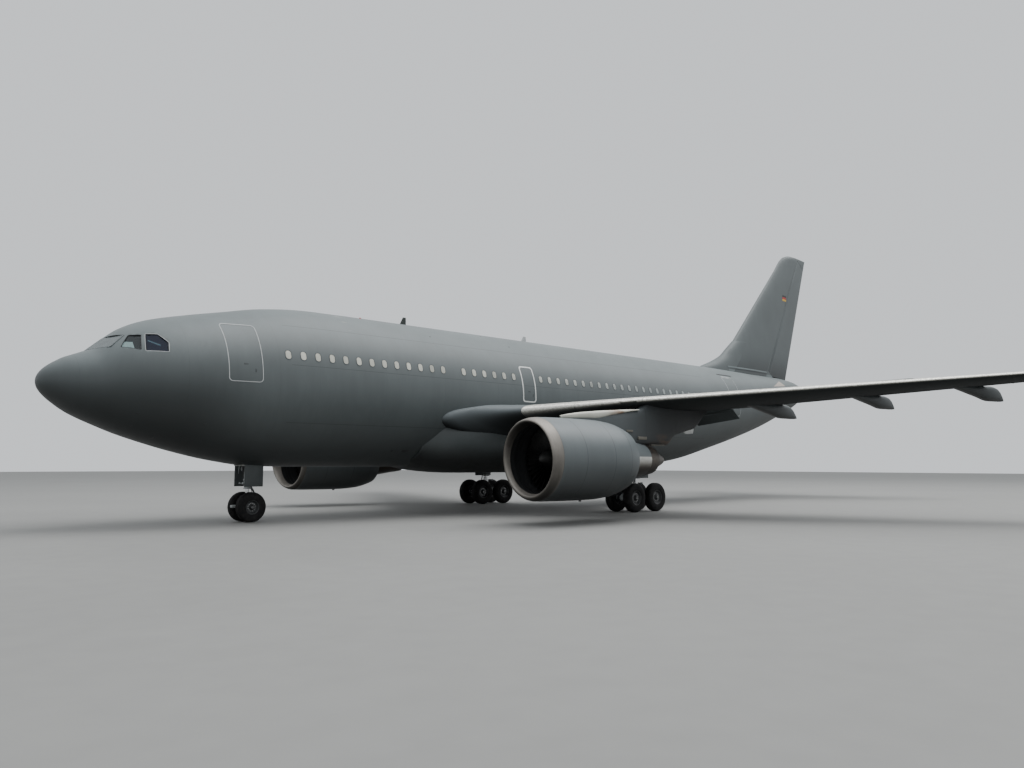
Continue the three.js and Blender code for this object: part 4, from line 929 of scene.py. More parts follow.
def rounded(width, height, radius, corner=6, side=1):
    """Points round a rectangle with round corners, centred on zero, with the steps of a corner and of a side."""
    points = []
    for quarter in range(4):
        across = 1 if quarter in (0, 3) else -1
        up = 1 if quarter in (0, 1) else -1
        middle = (across * (width / 2 - radius), up * (height / 2 - radius))
        for i in range(corner + 1):
            a = math.pi / 2 * (quarter + i / corner)
            points.append((middle[0] + radius * math.cos(a), middle[1] + radius * math.sin(a)))
    if side == 1:
        return points
    full = []
    for a, b in zip(points, points[1:] + points[:1]):
        count = side if math.dist(a, b) > radius else 1
        full += [(blend(a[0], b[0], i / count), blend(a[1], b[1], i / count)) for i in range(count)]
    return full


# How deep the outlines reach into the skin, and the share of a patch inside its softened edge
OUTLINE_DEPTH, PATCH_FLAT = -4, 0.94


def add_skin_ring(bm, sign, centre, outline, inner, proud):
    """Closed band on the skin between an outline and a smaller one inside it."""
    station, height = centre

    def ring(shape, out):
        return [on_skin(sign, station + x, height + z, out) for x, z in shape]
    add_loft(bm, [ring(outline, OUTLINE_DEPTH), ring(outline, proud), ring(inner, proud), ring(inner, OUTLINE_DEPTH)],
             cyclic=True)


def add_skin_patch(bm, sign, centre, outline, proud):
    """Closed patch on the skin with softened edges."""
    station, height = centre

    def ring(share, out):
        return [on_skin(sign, station + x * share, height + z * share, out) for x, z in outline]
    add_loft(bm, [ring(1, OUTLINE_DEPTH), ring(1, proud * 0.6), ring(PATCH_FLAT, proud)])


CABIN_WINDOW_HEIGHT = 2760
# First station, pitch and number of the windows in each row
WINDOW_GROUPS = ((3455, 265, 13), (7140, 265, 6), (9240, 267.5, 26))
PANE, RIM = rounded(94, 140, 42, 3), rounded(116, 164, 53, 3)
# Widths of the bands round the doors and the exit, and of the dark gap inside them on both sides together
DOOR_BAND, EXIT_BAND, DOOR_GAP = 13, 26, 8
# Centre station, centre height, width and height of each door outline, and the width of its band
DOOR_OUTLINES = (
    (2750, 2752, 536, 965, DOOR_BAND), (8865, 2630, 378, 752, EXIT_BAND), (16990, 2845, 575, 1060, DOOR_BAND),
)
# Station, height, width, height, corner radius and rise of the dark and the pale strip over the rear door
DARK_STRIP, PALE_STRIP = (17030, 3462, 790, 24, 8, 7), (17000, 3396, 520, 20, 6, 6)


def build_cabin_windows():
    panes, rims = bmesh.new(), bmesh.new()
    for _, sign in SIDES:
        for first, pitch, count in WINDOW_GROUPS:
            for i in range(count):
                centre = (first + i * pitch, CABIN_WINDOW_HEIGHT)
                add_skin_ring(rims, sign, centre, RIM, PANE, 3)
                add_skin_patch(panes, sign, centre, PANE, 1.5)
    piece("cabin_window_panes", panes, CABIN_SHADE)
    piece("cabin_window_rims", rims, WINDOW_RIM)


def build_door_outlines():
    bands, exit_bands, gaps, fittings = (bmesh.new() for _ in range(4))
    for _, sign in SIDES:
        for station, height, width, tall, band in DOOR_OUTLINES:
            edge, inner, seam = (rounded(width - less, tall - less, radius, side=12)
                                 for less, radius in ((0, 62), (2 * band, 50), (2 * band + DOOR_GAP, 46)))
            add_skin_ring(exit_bands if band == EXIT_BAND else bands, sign, (station, height), edge, inner, 2.5)
            add_skin_ring(gaps, sign, (station, height), inner, seam, 0.6)
            add_skin_patch(fittings, sign, (station, height - tall * 0.2), rounded(70, 26, 10, 3), 2)
            add_skin_patch(fittings, sign, (station + width * 0.28, height - tall * 0.3), rounded(22, 60, 8, 3), 2)
        for bm, (station, height, width, tall, radius, rise) in ((gaps, DARK_STRIP), (bands, PALE_STRIP)):
            add_skin_patch(bm, sign, (station, height), rounded(width, tall, radius, 3, 24), rise)
    piece("door_outlines", bands, PALE_LINE)
    piece("exit_outlines", exit_bands, WHITE_LINE)
    piece("door_gaps", gaps, DARK_FITTING)
    piece("door_handles", fittings, WINDOW_RIM)


# Station, height, width and height of dark ports and hatches on the skin
PORTS = (
    (554, 1851, 34, 22), (1322, 1743, 40, 26), (1314, 1566, 30, 24), (1664, 1392, 52, 30), (2255, 1595, 36, 20),
    (5847, 1230, 60, 40), (6138, 1232, 150, 44), (6668, 3442, 34, 18), (8286, 3660, 34, 14), (8766, 3448, 34, 18),
)
# Front and back at the root, front and back at the tip, and height of root and tip of each blade antenna
ANTENNAS = (
    ("dark_antennas", DARK_PAINT, 6560, 6740, 6660, 6735, 3740, 3935),
    ("pale_antennas", PALE_LINE, 9940, 10130, 10030, 10115, 3740, 3900),
)
ANTENNA_THICK = 14
# Station, height and reach of the beacons above and below
BEACONS = ((5650, 3755, 46), (11900, 812, -40))


def build_skin_fittings():
    """Ports, blade antennas and the beacons."""
    ports, lamps = bmesh.new(), bmesh.new()
    for _, sign in SIDES:
        for station, height, width, tall in PORTS:
            add_skin_patch(ports, sign, (station, height), rounded(width, tall, tall * 0.45, 3), 1.5)
    for station, height, reach in BEACONS:
        add_rod(lamps, place(station, 0, height), place(station, 0, height + reach), 0.036, 0.02, 24)
    piece("skin_ports", ports, DARK_FITTING)
    piece("beacons", lamps, RED_LAMP)
    for name, finish, front, back, tip_front, tip_back, low, high in ANTENNAS:
        root = foil(place(front, 0, low), place(back, 0, low), ANTENNA_THICK, Y, 20)
        tip = foil(place(tip_front, 0, high), place(tip_back, 0, high), ANTENNA_THICK / 2, Y, 20)
        piece(name, made_by(lambda bm: add_loft(bm, [root, tip])), finish)


# Wings

def half_thickness(share):
    """Half thickness of an aerofoil at a share of its chord, as a share of its thickness."""
    root = 0.2969 * math.sqrt(max(share, 0))
    return 5 * (root - 0.126 * share - 0.3516 * share ** 2 + 0.2843 * share ** 3 - 0.1015 * share ** 4)


def foil(lead, trail, thick, up, count=48):
    """Ring round an aerofoil, from its trailing edge over the top to the front and back below."""
    ring = []
    for a in circle(count):
        share = 0.5 + 0.5 * math.cos(a)
        rise = half_thickness(share) * thick / 1000 * (1 if math.sin(a) > 0 else -1)
        ring.append(lead.lerp(trail, share) + up * (0 if abs(math.sin(a)) < 1e-6 else rise))
    return ring


def wing_row(span):
    return WING.smooth(span) if span < WING_ROOT_END else WING.straight(span)


def wing_point(span, share):
    lead, lead_height, trail, trail_height, _ = wing_row(span)
    return place(blend(lead, trail, share), span, blend(lead_height, trail_height, share))


def wing_foil(span):
    lead, lead_height, trail, trail_height, thick = wing_row(span)
    return foil(place(lead, span, lead_height), place(trail, span, trail_height), thick, Z, 64)


# How far the cut for a control surface reaches aft, and above and below its hinge
CUT_AFT, CUT_HALF = 3, 1.5


class Hinge:
    """Hinge line of a control surface with a round nose, and the space that is cut for it."""

    def __init__(self, *rows):
        """Each row is an end of the line, its share of the chord, and how thick the foil is there."""
        self.ends = [point for point, _, _ in rows]
        self.radii = [half_thickness(share) * thick / 1000 for _, share, thick in rows]
        self.direction = (self.ends[1] - self.ends[0]).normalized()
        self.aft = (X - self.direction * X.dot(self.direction)).normalized()
        self.normal = self.direction.cross(self.aft)

    def inset(self, gap):
        return [self.ends[0] + self.direction * gap, self.ends[1] - self.direction * gap]

    def region(self, gap, slot):
        front = [end - self.aft * (radius + slot if slot else 0) for end, radius in zip(self.inset(gap), self.radii)]
        corners = [front[0], front[1], front[1] + self.aft * CUT_AFT, front[0] + self.aft * CUT_AFT]
        return made_by(lambda bm: add_prism(bm, corners, self.normal * -CUT_HALF, self.normal * CUT_HALF))

    def nose(self, gap):
        return made_by(lambda bm: add_rod(bm, *self.inset(gap), *self.radii, 24))

    def split(self, whole, gap=MOVING_GAP / 1000):
        """The fixed part with its slot, and the moving part with its nose."""
        fixed = shaped("fixed", whole.copy(), ("DIFFERENCE", self.region(0, gap)))
        moving = shaped("moving", whole, ("INTERSECT", self.region(gap, 0)), ("UNION", self.nose(gap)))
        return fixed, moving


# Station and span place of both ends of the aileron's hinge, and its droop in degrees
AILERON = ((11500, 3425), (11640, 4375))
AILERON_DROOP = 28
# Station and span place of the front and of the back of each flap track fairing, and its low
TRACKS = (
    ((11000, 4960), (12875, 5150), 1915),
    ((11850, 6635), (13485, 6880), 2060),
    ((12650, 8165), (14105, 8620), 2155),
)
# Share of the length, then half width, and how far the roof and the floor have dropped to the low, as shares
TRACK_SHAPE = Table(
    (0, 0.04, 0, 0), (0.08, 0.45, 0, 0.08), (0.2, 0.85, 0, 0.25), (0.5, 1, 0, 0.7), (0.72, 1, 0, 1),
    (0.88, 0.72, 0.17, 1), (0.96, 0.4, 0.62, 0.98), (1, 0.08, 0.87, 0.93),
)
# Widest half width of a track fairing, how far below the wing's middle its floor starts, and the end of the wing
TRACK_HALF, TRACK_UNDER_WING, WING_END = 78, 24, 10960
# Distance outboard of each static wick, and station and height of each corner of the wingtip fence
WICKS = (8900, 9300, 9700, 10100, 10500)
FENCE = ((13440, 2620), (14240, 2975), (14500, 2975), (14560, 2590), (14420, 2230), (14190, 2230))


def aileron_end(station, span):
    lead, _, trail, _, thick = wing_row(span)
    share = (station - lead) / (trail - lead)
    return wing_point(span, share), share, thick


def build_wings():
    spans = [*spread(1150, WING_ROOT_END, 12), 2600, 3200, 3950, *spread(4600, WING_END, 8)]
    whole = made_by(lambda bm: add_loft(bm, [wing_foil(span) for span in spans]))
    hinge = Hinge(*(aileron_end(*end) for end in AILERON))
    fixed, _ = hinge.split(whole)
    _, moving = hinge.split(made_by(lambda bm: add_loft(bm, [wing_foil(span) for _, span in AILERON])))
    bmesh.ops.rotate(moving, verts=moving.verts, cent=hinge.ends[0],
                     matrix=Matrix.Rotation(math.radians(AILERON_DROOP), 3, hinge.direction))
    static = ["wing_{}", "slat_inboard_{}", "slat_outboard_{}", "flap_inboard_{}", "flap_outboard_{}"]
    pair("wing_skin", fixed, WING_SKIN, slot="wing_paint", replaces=static, crease=40)
    pair("aileron_skin", moving, WING_SKIN, "aileron_{}", "wing_paint", ["aileron_{}"], 40)
    pair("flap_track_fairings", made_by(add_tracks), TRACK_PAINT, slot="wing_paint", crease=50)
    pair("wingtip_fence", made_by(add_fence), TAIL_PAINT, slot="wing_paint")


def build_wing_tips():
    """Navigation lamps in the leading edges and static wicks on the trailing edges."""
    wicks = bmesh.new()
    for side, sign in SIDES:
        lamp = bmesh.new()
        lead = wing_point(10870, 0)
        lead.y *= sign
        add_rod(lamp, lead + Y * sign * 0.03 + X * 0.03, lead - Y * sign * 0.05, 0.024, 0.016, 20)
        piece(f"navigation_lamp_{side}", lamp, GREEN_LAMP if sign > 0 else RED_LAMP)
        for span in WICKS:
            root = wing_point(span, 0.995)
            root.y *= sign
            add_rod(wicks, root, root + X * 0.085, 0.0035, 0.002, 8)
    piece("static_wicks", wicks, DARK_FITTING)


def add_tracks(bm):
    for front, aft, low in TRACKS:
        rings = []
        for share in (0, 0.015, 0.04, *spread(0.08, 0.92, 18), 0.95, 0.975, 1):
            swell, roof_drop, floor_drop = TRACK_SHAPE.smooth(share)
            station, span = blend(front[0], aft[0], share), blend(front[1], aft[1], share)
            _, lead_height, _, trail_height, _ = wing_row(span)
            wing_middle = blend(lead_height, trail_height, 0.9)
            roof, floor = blend(wing_middle, low, roof_drop), blend(wing_middle - TRACK_UNDER_WING, low, floor_drop)
            middle, tall, half = (roof + floor) / 2, (roof - floor) / 2, TRACK_HALF * swell
            rings.append(oval_ring(station, span, half, middle, tall, 0.75, 0.8, 24))
        add_loft(bm, rings)


def add_fence(bm):
    corners = [place(station, WING_END, height) for station, height in FENCE]
    add_prism(bm, corners, Y * -0.015, Y * 0.015)
    edges = [edge for edge in bm.edges if abs((edge.verts[0].co - edge.verts[1].co).y) < 1e-4]
    bevel_edges(bm, edges, 0.011, 3)


def build_fairing():
    bow = 2 / 2.6
    rings = []
    for station in (6450, 6480, 6530, 6600, 6700, *spread(6850, 12700, 26), 12850, 12950, 13050, 13110, 13150):
        centre, half, tall = FAIRING.smooth(station)
        rings.append(oval_ring(station, 0, half, centre, tall, bow, bow, 72))
    piece("belly_fairing_skin", made_by(lambda bm: add_loft(bm, rings)), BELLY_PAINT,
          replaces=["belly_fairing"], crease=40)


# Tail

# Station and height of both ends of the rudder's hinge, and of the line that cuts its foot
RUDDER = ((20700, 3850), (22890, 7800))
RUDDER_FOOT = ((20000, 3787), (23440, 3669))
# Height, then station of the front edge and thickness of the fillet in front of the fin, and the station of its back
FILLET = Table(
    (3700, 16960, 430), (3780, 17070, 422), (3965, 17600, 403.5), (4205, 18160, 379.5), (4390, 18410, 361),
    (4700, 18840, 330),
)
FILLET_END = 20400
# Distance of both ends of the elevator's hinge from the middle, and its share of the chord
ELEVATOR = (1150, 3930, 0.68)
# Start, end, low and high of the flag, and of the pale strip at the foot of the fin
FLAG = (21655, 21915, 6300, 6488)
FIN_STRIP = (18200, 20480, 3832, 3882)
FLAG_STRIPES = (("gold", GOLD_STRIPE), ("red", RED_STRIPE), ("black", BLACK_STRIPE))
# Where the top of the fin and the end of the tailplane begin to round off
FIN_SHOULDER, TAILPLANE_SHOULDER = 7275, 4040


def on_fin(sign, station, height, out):
    lead, trail, thick = FIN.straight(height)
    half = half_thickness((station - lead) / (trail - lead)) * thick
    return place(station, sign * (half + out), height)


def on_fin_root(sign, station, height, out):
    """A point on the side of the fin or of its fillet, whichever lies further out."""
    lead, thick = FILLET.smooth(height)
    inside = lead < station < FILLET_END
    fillet = half_thickness((station - lead) / (FILLET_END - lead)) * thick if inside else 0
    found = on_fin(1, station, height, 0)
    return place(station, sign * (max(found.y * 1000, fillet) + out), height)


def fin_foil(height):
    lead, trail, thick = FIN.straight(height) if height <= FIN_SHOULDER else FIN.smooth(height)
    return foil(place(lead, 0, height), place(trail, 0, height), thick, Y)


def rudder_end(station, height):
    lead, trail, thick = FIN.straight(height)
    return place(station, 0, height), (station - lead) / (trail - lead), thick


def build_fin():
    heights = (3600, 4640, 5500, 6400, FIN_SHOULDER, 7500, 7650, 7750, 7810, 7850, 7880, 7900)
    whole = made_by(lambda bm: add_loft(bm, [fin_foil(height) for height in heights]))
    fixed, moving = Hinge(*(rudder_end(*end) for end in RUDDER)).split(whole)
    piece("fin_skin", fixed, FIN_PAINT, replaces=["fin"], crease=40)
    below = [place(station, 0, height) for station, height in (*RUDDER_FOOT, (23500, 3400), (20000, 3400))]
    foot = made_by(lambda bm: add_prism(bm, below, Y * -0.4, Y * 0.4))
    piece("rudder_skin", shaped("rudder", moving, ("DIFFERENCE", foot)), TAIL_PAINT, "rudder",
          ["rudder"], 40)
    blades = []
    for height in spread(3700, 4700, 16):
        lead, thick = FILLET.smooth(height)
        blades.append(foil(place(lead, 0, height), place(FILLET_END, 0, height), thick, Y, 48))
    piece("fin_fillet", made_by(lambda bm: add_loft(bm, blades)), FIN_PAINT, crease=40)


def build_fin_marks():
    """Pale strips at the foot of the fin, and the flag on its sides."""
    strips = bmesh.new()
    start, end, low, high = FIN_STRIP
    for _, sign in SIDES:
        add_loft(strips, [[on_fin_root(sign, station, height, reach) for height, reach in
                           ((low, -8), (low, 7), (high, 7), (high, -8))] for station in spread(start, end, 22)])
    piece("fin_root_strips", strips, STRIP_PAINT)
    start, end, low, high = FLAG
    for i, (colour, finish) in enumerate(FLAG_STRIPES):
        stripe = bmesh.new()
        bottom, top = blend(low, high, i / 3), blend(low, high, (i + 1) / 3)
        for _, sign in SIDES:
            corners = [[on_fin(sign, station, height, out) for station, height in
                        ((start, bottom), (end, bottom), (end, top), (start, top))] for out in (-6, 2)]
            add_loft(stripe, corners)
        piece(f"fin_stripe_{colour}", stripe, finish)


def tailplane_foil(span):
    lead, trail, height, thick = TAILPLANE.straight(span)
    pinch = 1 - max(0, span - TAILPLANE_SHOULDER) / 60
    return foil(place(lead, span, height), place(trail, span, height), thick * pinch, Z)


def elevator_end(span, share):
    lead, trail, height, thick = TAILPLANE.straight(span)
    return place(blend(lead, trail, share), span, height), share, thick


def build_tailplane():
    start, end, share = ELEVATOR
    spans = (250, 950, 2000, 3000, TAILPLANE_SHOULDER, 4058, 4065)
    whole = made_by(lambda bm: add_loft(bm, [tailplane_foil(span) for span in spans]))
    fixed, moving = Hinge(elevator_end(start, share), elevator_end(end, share)).split(whole)
    pair("tailplane_skin", fixed, TAIL_PAINT, slot="composite_paint", replaces=["tailplane_{}"], crease=40)
    pair("elevator_skin", moving, TAIL_PAINT, "elevator_{}", "composite_paint", ["elevator_{}"], 40)


# Engines

# Station and radius of the cowl's outer and inner side, of the lip's section, of the core cowl and of the plug
COWL_OUTER = Table((6450, 683), (6700, 690), (7250, 694), (7700, 690), (8100, 660), (8350, 605), (8500, 555))
COWL_INNER = Table((6450, 562), (6700, 597), (7100, 597), (7600, 592), (8100, 575), (8500, 543))
LIP = ((6449, 683), (6390, 676), (6330, 663), (6290, 650), (6264, 637), (6251, 624), (6250, 612), (6258, 602),
       (6280, 592), (6320, 582), (6380, 570), (6449, 562), (6449, 600), (6400, 640))
# How far the lip's front is moved aft, and how that changes outboard and upwards
LIP_SHIFT, LIP_TOE, LIP_LEAN = 0.052, -0.08, -0.055
# Station of the lip's back edge, and its length in metres
LIP_BACK, LIP_LENGTH = 6449, 0.199
CORE = Table((6990, 180), (7400, 310), (7800, 415), (8150, 422), (8500, 390), (9200, 293))
PLUG = Table((9350, 205), (9550, 178), (9700, 130), (9850, 70), (9920, 12))
# Station, then low, high and half width of the pylon
PYLON = Table(
    (7065, 1740, 1810, 12), (7350, 1715, 1850, 50), (7550, 1400, 1875, 70), (8150, 1380, 1930, 100),
    (8750, 1340, 1975, 120), (9140, 1340, 2010, 120), (9450, 1350, 2150, 118), (9950, 1345, 2200, 105),
    (10220, 1530, 2200, 88), (10650, 1642, 2200, 56), (10920, 1702, 2180, 36), (11160, 1870, 2150, 16),
    (11300, 1985, 2120, 8), (11380, 2050, 2110, 6),
)
# Station and height of each corner of the pale fin under the pylon's tip, and its half thickness in metres
PYLON_TIP, PYLON_TIP_HALF = ((10560, 1650), (10640, 1588), (10885, 1602), (10925, 1740), (10650, 1690)), 0.016
# Share of the length, then swell and depth of the cream fairing on top of the pylon
PYLON_TOP = Table(
    (0, 0.3, 45), (0.12, 0.8, 80), (0.3, 1, 120), (0.43, 1, 140), (0.62, 1, 95), (0.85, 0.9, 45), (1, 0.1, 18),
)
PYLON_FRONT, PYLON_BACK, PYLON_TOP_BACK = 7065, 11380, 9060
# Start, end, low and high of each fitting, and how far it stands out of the pylon's side
PYLON_FITTINGS = ((8672, 8852, 1570, 1612, 14), (9000, 9247, 1440, 1500, 20), (9400, 9800, 1340, 1362, 8))
FAN_STATION, HUB_RADIUS, BLADE_TIP, BLADES, VANES = 6880, 190, 581, 38, 24
SPINNER = Table((6575, 6), (6590, 38), (6620, 68), (6680, 115), (6750, 155), (6828, 186), (6860, HUB_RADIUS))
# Station and radius round the nozzle's wall
NOZZLE = ((9190, 296), (9300, 284), (9420, 266), (9450, 261), (9450, 255), (9400, 252), (9200, 262), (9190, 270))


def engine_point(station, y=0.0, z=0.0):
    return place(station, ENGINE_SPAN + y, ENGINE_HEIGHT + z)


def add_engine_part(bm, rows, facets=AROUND):
    """Turned engine part from rows of station and radius."""
    profile = [((station - FAN_STATION) / 1000, radius / 1000) for station, radius in rows]
    add_turned(bm, profile, engine_point(FAN_STATION), X, facets)


def engine_turned(rows):
    return made_by(lambda bm: add_engine_part(bm, rows))


def rows_of(table, stations):
    return [(station, table.smooth(station)[0]) for station in stations]


def build_engines():
    cowl = rows_of(COWL_OUTER, spread(6452, 8500, 26)) + rows_of(COWL_INNER, spread(8500, 6452, 20))
    pair("nacelle_cowl", engine_turned(cowl), NACELLE_PAINT, slot="nacelle_paint", replaces=["nacelle_{}"], crease=30)
    lip = engine_turned(LIP)
    for vertex in lip.verts:
        share = (metres(LIP_BACK) - vertex.co.x) / LIP_LENGTH
        across, up = vertex.co.y - ENGINE_SPAN / 1000, vertex.co.z - ENGINE_HEIGHT / 1000
        vertex.co.x += share * (LIP_SHIFT + LIP_TOE * across + LIP_LEAN * up)
    pair("nacelle_lip", lip, LIP_METAL, slot="bare_metal", replaces=["inlet_lip_{}"], crease=50)
    liner = rows_of(COWL_INNER, spread(6470, 6830, 8))
    rows = [(station, radius - 1) for station, radius in liner]
    rows += [(station, radius + 4) for station, radius in reversed(liner)]
    pair("intake_liner", engine_turned(rows), DUCT_LINER, slot="nacelle_paint", crease=50)
    core = [(6990, 0)] + rows_of(CORE, spread(6990, 9200, 30)) + [(9200, 0)]
    bm = engine_turned(core)
    for i in range(VANES):
        turn = Matrix.Rotation(2 * math.pi * i / VANES, 4, X)
        vane = Matrix.Translation(Vector((0, 0, 0.44))) @ Matrix.Diagonal((0.11, 0.01, 0.3, 1))
        matrix = Matrix.Translation(engine_point(7350)) @ turn @ vane
        bevel_edges(bm, edges_of(bmesh.ops.create_cube(bm, size=1, matrix=matrix)["verts"]), 0.003, 1)
    pair("core_cowl", bm, CORE_COWL, slot="engine_metal", replaces=["engine_core_{}"], crease=40)
    pair("nozzle", engine_turned(NOZZLE), HOT_METAL, slot="engine_metal", crease=40)
    plug = [(9195, 0), (9195, 215)] + rows_of(PLUG, spread(9350, 9920, 16)) + [(9924, 0)]
    pair("nozzle_plug", engine_turned(plug), HOT_METAL, slot="engine_metal", crease=40)
    pair("pylon_skin", made_by(add_pylon), PYLON_PAINT, slot="nacelle_paint", replaces=["pylon_{}"], crease=45)
    pair("pylon_fittings", made_by(add_pylon_fittings), SOOTY_METAL, slot="nacelle_paint")
    mast = made_by(lambda bm: add_box(bm, engine_point(7520, -5, -716), engine_point(7580, 5, -660), 0.003))
    pair("nacelle_drain_mast", mast, DARK_FITTING, slot="nacelle_paint")
    corners = [place(station, ENGINE_SPAN, height) for station, height in PYLON_TIP]
    tip = made_by(lambda bm: add_prism(bm, corners, Y * -PYLON_TIP_HALF, Y * PYLON_TIP_HALF))
    pair("pylon_tip", tip, WHITE_LINE, slot="nacelle_paint")
    pair("pylon_top_fairing", made_by(add_pylon_top), CREAM_PAINT, slot="nacelle_paint", crease=45)
    pair("fan_rotor", made_by(add_fan), SHADED_FAN_METAL, "fan_{}", "fan_metal", ["fan_{}"], 40)


def box_ring(station, half, low, high, power=0.55):
    """Ring of a rounded box section of the pylon."""
    return oval_ring(station, ENGINE_SPAN, half, (low + high) / 2, (high - low) / 2, power, power)


def add_pylon(bm):
    rings = []
    for station in spread(PYLON_FRONT, PYLON_BACK, 52):
        low, high, half = PYLON.smooth(station)
        rings.append(box_ring(station, half, low, high))
    add_loft(bm, rings)


def add_pylon_fittings(bm):
    """Fairings and brackets on both sides of the pylon."""
    for outward in (1, -1):
        for start, end, low, high, out in PYLON_FITTINGS:
            half = PYLON.smooth((start + end) / 2)[2]
            near, far = sorted((outward * (half - 10), outward * (half + out)))
            add_box(bm, place(start, ENGINE_SPAN + near, low), place(end, ENGINE_SPAN + far, high), 0.005)


def add_pylon_top(bm):
    rings = []
    for share in spread(0, 1, 30):
        station = blend(PYLON_FRONT, PYLON_TOP_BACK, share)
        _, high, half = PYLON.smooth(station)
        swell, depth = PYLON_TOP.smooth(share)
        rings.append(box_ring(station, half + 10 * swell, high - depth, high + 12 * swell, 0.7))
    add_loft(bm, rings)


def add_fan(bm):
    rows = [(6574, 0)] + rows_of(SPINNER, (6575, 6580, 6590, 6605, *spread(6620, 6860, 12)))
    add_engine_part(bm, rows + [(6985, HUB_RADIUS), (6985, 0)], 76)
    blade = bmesh.new()
    rings = []
    for share in spread(0, 1, 7):
        radius = blend(HUB_RADIUS - 12, BLADE_TIP, share)
        stagger = math.radians(blend(24, 62, share ** 0.7))
        chord = blend(118, 168, math.sin(math.pi * min(1, share * 0.7 + 0.1)))
        thick = blend(13, 4, share)
        ring = []
        for a in circle(12):
            along, through = chord / 2 * math.cos(a), thick / 2 * math.sin(a) + 8 * math.cos(a) ** 2 * share
            ring.append(engine_point(
                FAN_STATION + along * math.cos(stagger) - through * math.sin(stagger),
                along * math.sin(stagger) + through * math.cos(stagger), radius))
        rings.append(ring)
    add_loft(blade, rings)
    bmesh.ops.spin(
        blade, geom=blade.verts[:] + blade.edges[:] + blade.faces[:], cent=engine_point(FAN_STATION), axis=X,
        angle=2 * math.pi, steps=BLADES, use_duplicate=True,
    )
    bmesh.ops.remove_doubles(blade, verts=blade.verts, dist=1e-5)
    mesh = bpy.data.meshes.new("blades")
    blade.to_mesh(mesh)
    blade.free()
    bm.from_mesh(mesh)
    bpy.data.meshes.remove(mesh)


# Landing gear

# Place of the nose wheels' axle, station and span place of a main leg, and half wheelbase and height of its axles
NOSE_WHEEL_CENTRE = (3450, 0, 255)
MAIN_GEAR = (11050, 2400)
BOGIE_HALF, AXLE_HEIGHT = 350, 300
# Half width of a tyre, distance of the wheels from the axle's middle, and radius of rim and tyre
NOSE_WHEELS, MAIN_WHEELS = (80, 151, 120, 255), (84, 236, 150, 300)
# Half of a tyre's section, from the rim to the tread's middle: share of half width, and share of the way out
TYRE_SECTION = (
    (0.78, 0.0), (0.93, 0.06), (1, 0.24), (1, 0.5), (0.96, 0.72), (0.85, 0.88), (0.68, 0.965), (0.5, 0.995),
    (0.47, 0.96), (0.41, 0.96), (0.38, 1.0), (0.06, 1.0), (0.03, 0.96),
)
# Low, high and radius in metres of the stages of the nose strut, of the nose leg above it and of the main legs
NOSE_STRUT_STAGES = ((560, 585, 0.062), (585, 660, 0.056), (660, 690, 0.064))
NOSE_LEG_STAGES = ((702, 730, 0.072), (730, 1240, 0.064), (1000, 1030, 0.07), (1240, 1348, 0.078))
MAIN_LEG_STAGES = (
    (356, 420, 0.07), (690, 720, 0.086), (720, 1050, 0.076), (1050, 1090, 0.088), (1090, 1790, 0.08),
)
# Distance from the leg's middle and upper height of each hose down the nose leg
NOSE_HOSES = ((30, 1180), (-30, 1140), (44, 1100))
# Distance from the leg's middle and radius in metres of each hose down a main leg
MAIN_HOSES = ((58, 0.008), (-58, 0.008), (30, 0.006), (-24, 0.006))
# Distance of the taxi lamps from the middle, and their height
LAMP_SPAN, LAMP_HEIGHT = 88, 905


def add_tyre(bm, centre, half, rim, radius):
    there = [(half * along, rim + (radius - rim) * out) for along, out in TYRE_SECTION]
    back = [(-along, out) for along, out in reversed(there)]
    closing = [(-half * 0.6, rim - 6), (half * 0.6, rim - 6)]
    profile = [(along / 1000, out / 1000) for along, out in there + back + closing]
    add_turned(bm, profile, centre, Y)


def add_wheel(bm, centre, outward, half, rim):
    """Dished wheel with a hub cap and rim flanges. Outward is 1 or -1 along Y."""
    # Distance outward and radius, from the hub cap over both flanges to the back
    rows = (
        (half * 0.9, 0), (half * 0.9, rim * 0.2), (half * 0.8, rim * 0.25), (half * 0.62, rim * 0.3),
        (half * 0.4, rim * 0.42), (half * 0.34, rim * 0.72), (half * 0.5, rim * 0.84), (half * 0.8, rim * 0.93),
        (half * 0.86, rim + 2), (half * 0.78, rim + 4), (half * 0.6, rim - 3), (-half * 0.6, rim - 3),
        (-half * 0.78, rim + 4), (-half * 0.86, rim + 2), (-half * 0.8, rim * 0.92), (-half * 0.3, rim * 0.84),
        (-half * 0.2, rim * 0.35), (-half * 0.2, 0),
    )
    add_turned(bm, [(outward * along / 1000, out / 1000) for along, out in rows], centre, Y, 64)


def add_bolts(bm, centre, outward, along, ring, radius, count, height):
    """Ring of bolts, or of other short rods, on the face of a wheel."""
    for i in range(count):
        a = 2 * math.pi * (i + 0.5) / count
        spot = centre + Vector((ring * math.cos(a), outward * along, ring * math.sin(a))) / 1000
        add_rod(bm, spot, spot + Y * outward * height / 1000, radius / 1000, facets=8)


# How far out the bolts, cap screws and vents stand, radius of their ring and of each, as shares; number and height
WHEEL_BOLTS, CAP_SCREWS = (0.36, 0.55, 0.045, 12, 8), (0.88, 0.12, 0.03, 6, 3)
WHEEL_VENTS = (0.3, 0.8, 0.075, 9, 12)


